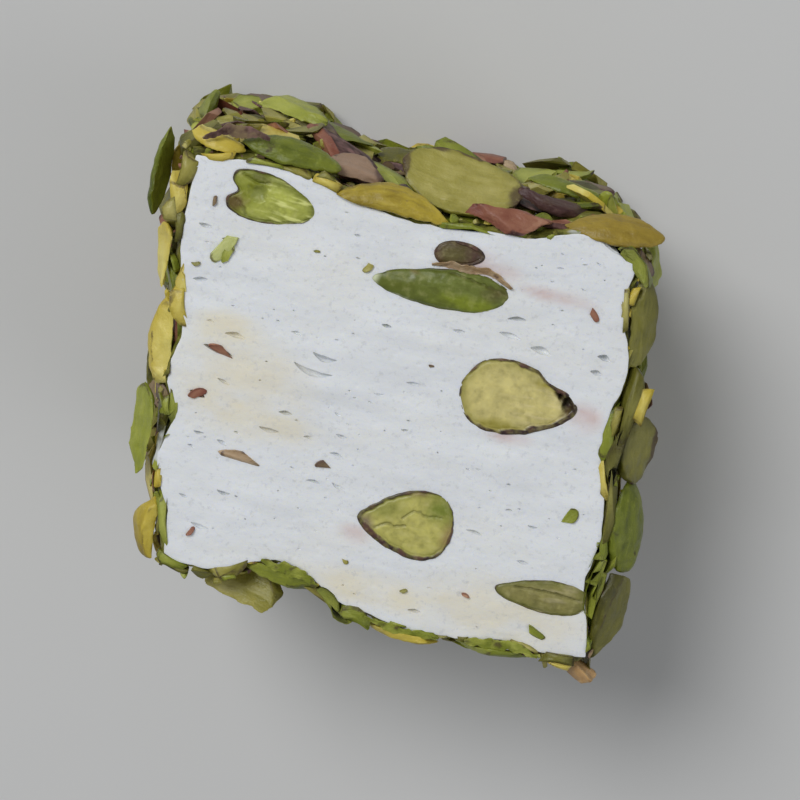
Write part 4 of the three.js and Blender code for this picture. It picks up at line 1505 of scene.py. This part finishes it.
def lay_slivers(relief, heaps, count, seed, forms, scale=1.0, tilt=0.1, face=0, sink=0.2, thin=1.0, flip=0.45,
                curl=None, wave=0.0):
    """Drops slivers all round the sweet, each resting on what lies there already.

    With face they lie along the upper (1) or the lower (-1) cut face, where the knife cut through them.
    """
    coat = bpy.context.scene.sweet_coat
    chance = random.Random(seed)
    laid = tries = 0
    while laid < count and tries < 16 * count:
        tries += 1
        kind = choose_kind(chance, tuple(heaps))
        grow = scale * chance.lognormvariate(0, 0.32) * KINDS[kind].get("small", 1)
        size = (
            coat.length * grow * chance.uniform(0.75, 1.2) * (0.85 if face else 1),
            coat.width * grow * chance.uniform(0.8, 1.4),
            coat.thickness * chance.uniform(0.7, 1.4) * min(grow, 1.1) * KINDS[kind]["thin"] * thin,
        )
        along_edge = chance.random() < (0.85 if face else 0.4)
        turn = chance.gauss(0, 0.3) if along_edge else chance.uniform(0, math.pi)
        tall = abs(size[0] / 2 * math.sin(turn)) + abs(size[1] / 2 * math.cos(turn)) * 0.8
        run = chance.uniform(0, TRACK.length)
        if face:
            height = (TOP if face > 0 else BASE) - face * tall * chance.uniform(-0.2, 0.75)
        else:
            low, high = BASE + tall, TOP - tall
            height = min(max(chance.uniform(BASE - 1 * MM, TOP + 1 * MM), low), high)
        lean = (chance.gauss(0, tilt), chance.gauss(0, 1.6 * tilt))
        found = relief.rest(run, height, turn, size, chance.uniform(0.5, 1.5) * sink * MM, lean)
        if not found:
            continue
        lift, slope_a, slope_b, spot = found
        form = choose_form(forms, chance)
        points = bent(form.points * np.array(size) / 2, size, chance, curl, wave * size[0])
        if chance.random() < flip:
            points *= (1, -1, -1)
        axes = tilted(TRACK.axes(run), turn, slope_a, slope_b)
        placed = points @ axes + TRACK.point(run, lift, height)
        if not inside_box(placed, 2 if face else 3) or relief.stands_out(placed):
            continue
        relief.lay(spot)
        heaps[kind].add(placed, form.faces, form.points, size, chance, form.cut, form.rim)
        laid += 1


def cut_by_knife(piece):
    """Cuts a heap of slivers off flush with the two cut faces, where the cut is fresh flesh."""
    for height, way in ((TOP + 0.05 * MM, 1), (BASE + 0.06 * MM, -1)):
        chop(piece, (0, 0, height), (0, 0, way))

        def plane_at(points):
            return [np.abs(points[:, 2] - height) < 1e-6]

        fan_out(piece, plane_at(read_points(piece.data)))
        fresh, edge = cut_marks(piece.data, plane_at)
        points = read_points(piece.data)
        level = plane_at(points)[0]
        tint = np.zeros(len(points))
        piece.data.attributes["tint"].data.foreach_get("value", tint)
        points[level, 2] += (tint[level] - 0.5) * 0.09 * MM
        _, lift = TRACK.nearest(points)
        hidden = np.clip((-lift / MM - 0.3) / 0.25, 0, 1) * 0.5 * MM
        points[:, 2] = np.minimum(points[:, 2] * way, height * way + 0.05 * MM - hidden) * way
        write_points(piece.data, points)
        for name, values, there in (("cut", fresh, fresh > 0.5), ("rim", edge, level)):
            layer = piece.data.attributes[name].data
            kept = np.zeros(len(layer))
            layer.foreach_get("value", kept)
            kept[there] = values[there]
            layer.foreach_set("value", kept)


def coat_core():
    """The crumbs pressed into the sweet's sides, as one uneven skin."""
    coat = bpy.context.scene.sweet_coat
    columns, rows = TRACK.count // 2, 70
    body = start_piece(
        "coat_core", bpy.ops.mesh.primitive_grid_add, x_subdivisions=columns, y_subdivisions=rows
    )
    grid = read_points(body.data)
    run = (grid[:, 0] + 1) / 2 * TRACK.length
    share = (grid[:, 1] + 1) / 2
    height = BASE + 0.6 * MM + share * (TOP - BASE - 1.0 * MM)
    angle = run / TRACK.length * 2 * math.pi
    spot = np.column_stack([np.cos(angle), np.sin(angle), angle * 0]) * TRACK.length / (2 * math.pi)
    spot[:, 2] = height
    lumps = wrinkle(spot, 1.4 * MM, 5, 4)
    lift = coat.core * np.clip(0.55 + 1.1 * lumps, -0.6, 2.2)
    edge = np.minimum(share, 1 - share) * (TOP - BASE)
    lift *= np.clip(edge / (0.7 * MM), 0, 1)
    write_points(body.data, TRACK.point(run, lift, height))
    make_active(body)
    bpy.ops.object.mode_set(mode="EDIT")
    bpy.ops.mesh.select_all(action="SELECT")
    bpy.ops.mesh.remove_doubles(threshold=0.02 * MM)
    bpy.ops.mesh.normals_make_consistent(inside=False)
    bpy.ops.object.mode_set(mode="OBJECT")
    wall = body.modifiers.new("wall", "SOLIDIFY")
    wall.thickness = 0.6 * MM
    wall.offset = -1
    bpy.ops.object.modifier_apply(modifier=wall.name)
    return body


def core_material():
    colours = bpy.context.scene.sweet_colours
    graph = Graph("pressed crumbs and gap shade")
    crumbs = graph.cells(900)
    patch = graph.noise(420, detail=4, roughness=0.7)
    # Olive crumbs in patches; the darkest stop is partly painted shade, for the gaps between the slivers.
    colour = graph.ramp(
        patch,
        (0.3, screen(46, 40, 14)),
        (0.44, screen(88, 88, 26)),
        (0.55, screen(122, 122, 48)),
        (0.68, screen(160, 150, 88)),
    )
    bare = graph.spread(graph.noise(150, detail=3), 0.58, 0.62)
    colour = graph.mix(bare, colour, rgba(colours.white, 0.9))
    normal = graph.bump(crumbs, 0.8, 0.3 * MM)
    normal = graph.bump(graph.noise(1700, detail=3), 0.4, 0.08 * MM, normal)
    return graph.finish(colour, 0.62, normal, 0.1, 0.4 * MM, 0.35)


class SWEET_OT_coat(Operator):
    """The coat: crumbs pressed into the sides, layers of slivers, and papery flakes of skin"""

    bl_idname = "sweet.coat"
    bl_label = "Sliver coat"

    def execute(self, context):
        coat = context.scene.sweet_coat
        finish_piece(coat_core(), core_material(), ["coat"], crease=70)
        relief = Relief(-0.1 * MM, coat.overhang)
        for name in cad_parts:
            if name.startswith("sliver_"):
                relief.keep_clear(name)
        forms = make_forms(9, 6, 7)
        heaps = {kind: Heap() for kind in COAT_KINDS}
        fresh = {kind: heaps[kind] for kind in ("green", "yellow", "olive", "pale")}
        lay_slivers(relief, fresh, coat.cut_slivers, 13, forms, 1.15, 0.04, face=1, sink=0.35, thin=1.3)
        lay_slivers(relief, fresh, coat.cut_slivers // 2, 4, forms, 0.9, 0.04, face=-1, sink=0.35)
        lay_slivers(relief, heaps, coat.slivers, 1, forms, 0.95, 0.05)
        lay_slivers(relief, fresh, coat.cut_slivers // 3, 5, forms, 0.9, 0.1, face=1, thin=1.2)
        lay_slivers(relief, heaps, coat.slivers, 2, forms, 1.2, 0.14)
        for kind, heap in heaps.items():
            cut_by_knife(heap.finish(kind + "_slivers", kind))
        flakes = {kind: Heap() for kind in ("purple", "pale", "red", "tan")}
        papery = make_forms(10, 6, 8, 6, ("flake",))
        lay_slivers(relief, flakes, coat.flakes, 6, papery, 0.6, 0.3, thin=0.3, flip=0, curl=0.12, wave=0.12)
        for kind, heap in flakes.items():
            heap.finish(kind + "_flakes", kind, 30)
        scatter_crumbs(relief)
        return {"FINISHED"}


def press_in(relief, heaps, count, seed, forms, sizes, flatness):
    """Presses small broken pieces into the coat where it is low."""
    chance = random.Random(seed)
    laid = 0
    for _ in range(14 * count):
        if laid >= count:
            break
        run = chance.uniform(0, TRACK.length)
        height = chance.uniform(BASE + 0.2 * MM, TOP - 0.1 * MM)
        column = round(run / relief.STEP) % TRACK.count
        row = min(round((height - BASE) / relief.STEP), relief.rows - 1)
        lift = relief.surface[column, row]
        if lift > min(relief.ceiling[column, row], chance.uniform(0.1, 1.8) * MM):
            continue
        length = chance.uniform(*sizes) * MM
        size = np.array((length, length * chance.uniform(0.5, 0.95), length * flatness * chance.uniform(0.6, 1.3)))
        form = choose_form(forms, chance)
        axis = Vector((chance.gauss(0, 0.3), chance.gauss(0, 0.3), 1))
        spin = np.array(Matrix.Rotation(chance.uniform(0, 6.28), 3, axis))
        points = form.points * size / 2 * (1, 1, chance.choice((-1, 1)))
        faces = form.faces
        placed = points @ spin @ TRACK.axes(run) + TRACK.point(run, lift + 0.05 * size[2], height)
        if placed[:, 2].max() > TOP + 0.05 * MM or not inside_box(placed):
            continue
        heaps[choose_kind(chance, tuple(heaps))].add(placed, faces, form.points, size, chance, form.cut, form.rim)
        laid += 1


def scatter_crumbs(relief):
    """Chips and crumbs that fill the coat between its slivers."""
    coat = bpy.context.scene.sweet_coat
    heaps = {kind: Heap() for kind in COAT_KINDS}
    press_in(relief, heaps, coat.chips, 31, make_forms(8, 5, 9), (1.1, 2.6), 0.35)
    press_in(relief, heaps, coat.crumbs, 32, make_forms(5, 4, 10), (0.3, 0.9), 0.5)
    for kind, heap in heaps.items():
        heap.finish(kind + "_crumbs", kind, 25)


# ------------------------------------------------------------------ the stage

ROLL = math.radians(14.3)
TIP = math.radians(15)


def camera_axes():
    """The view's right, up and back ways: nearly overhead, tipped over the upper side."""
    right = Vector((math.cos(ROLL), math.sin(ROLL), 0))
    up_flat = Vector((-math.sin(ROLL), math.cos(ROLL), 0))
    up = up_flat * math.cos(TIP) - Vector((0, 0, 1)) * math.sin(TIP)
    return right, up, right.cross(up)


def add_light(name, place, aim, size, power):
    data = bpy.data.lights.new(name, "AREA")
    data.shape = "DISK"
    data.size = size
    data.energy = power
    light = bpy.data.objects.new(name, data)
    bpy.context.scene.collection.objects.link(light)
    light.location = place
    light.rotation_euler = (Vector(aim) - Vector(place)).to_track_quat("-Z", "Y").to_euler()


def floor_material():
    graph = Graph("matt floor")
    speck = graph.noise(60, detail=2)
    colour = graph.mix(graph.spread(speck, 0.4, 0.6, 0, 0.04), rgba(bpy.context.scene.sweet_stage.floor_colour),
                       screen(214, 214, 214))
    return graph.finish(colour, 0.85, graph.bump(graph.noise(900), 0.05, 0.1 * MM), shine=0.2)


class SWEET_OT_stage(Operator):
    """Floor, soft lights and the camera"""

    bl_idname = "sweet.stage"
    bl_label = "Stage"

    def execute(self, context):
        stage = context.scene.sweet_stage
        floor = start_piece("floor", bpy.ops.mesh.primitive_plane_add, size=3.0, location=(0, 0, 0))
        floor.data.materials.append(floor_material())

        right, up, back = camera_axes()
        target = Vector((*face_middle(), TOP)) + Vector((0, 1.2 * MM, 0))
        data = bpy.data.cameras.new("camera")
        data.sensor_width = 36
        data.lens = 36 * stage.distance / stage.view_width
        data.clip_start = 0.005
        camera = bpy.data.objects.new("camera", data)
        context.scene.collection.objects.link(camera)
        turn = Matrix((right, up, back)).transposed().to_4x4()
        camera.matrix_world = Matrix.Translation(target + back * stage.distance) @ turn
        context.scene.camera = camera

        key = target - right * 0.35 + up * 0.55 + Vector((0, 0, 0.85))
        add_light("key", key, target, 0.45, stage.key_power)
        fill = target + right * 0.8 - up * 0.35 + Vector((0, 0, 0.6))
        add_light("fill", fill, target, 0.8, 0.3 * stage.key_power)
        world = bpy.data.worlds.new("soft room")
        world.use_nodes = True
        world.node_tree.nodes["Background"].inputs["Color"].default_value = (0.93, 0.96, 1.0, 1.0)
        world.node_tree.nodes["Background"].inputs["Strength"].default_value = 0.255
        context.scene.world = world
        context.scene.view_settings.view_transform = "Standard"
        return {"FINISHED"}


# ------------------------------------------------------------------ the add-on

OPERATORS = (
    SWEET_OT_nougat,
    SWEET_OT_kernels,
    SWEET_OT_flecks,
    SWEET_OT_large_slivers,
    SWEET_OT_coat,
    SWEET_OT_stage,
)


class SWEET_PT_pieces(Panel):
    """Lists the sweet's pieces and their settings"""

    bl_label = "Turkish delight"
    bl_idname = "SWEET_PT_pieces"
    bl_space_type = "VIEW_3D"
    bl_region_type = "UI"
    bl_category = "Sweet"

    def draw(self, context):
        for operator in OPERATORS:
            self.layout.operator(operator.bl_idname)
        for name, group in SETTINGS.items():
            box = self.layout.box()
            box.label(text=group.__doc__)
            for key in group.__annotations__:
                box.prop(getattr(context.scene, name), key)


def register():
    for name, group in SETTINGS.items():
        bpy.utils.register_class(group)
        setattr(bpy.types.Scene, name, PointerProperty(type=group))
    for item in (*OPERATORS, SWEET_PT_pieces):
        bpy.utils.register_class(item)


def unregister():
    for item in reversed((*OPERATORS, SWEET_PT_pieces)):
        bpy.utils.unregister_class(item)
    for name, group in SETTINGS.items():
        delattr(bpy.types.Scene, name)
        bpy.utils.unregister_class(group)


def main():
    noise.seed_set(11)
    register()
    bpy.ops.sweet.nougat()
    bpy.ops.sweet.kernels()
    bpy.ops.sweet.flecks()
    bpy.ops.sweet.large_slivers()
    bpy.ops.sweet.coat()
    bpy.ops.sweet.stage()


if __name__ == "__main__":
    main()
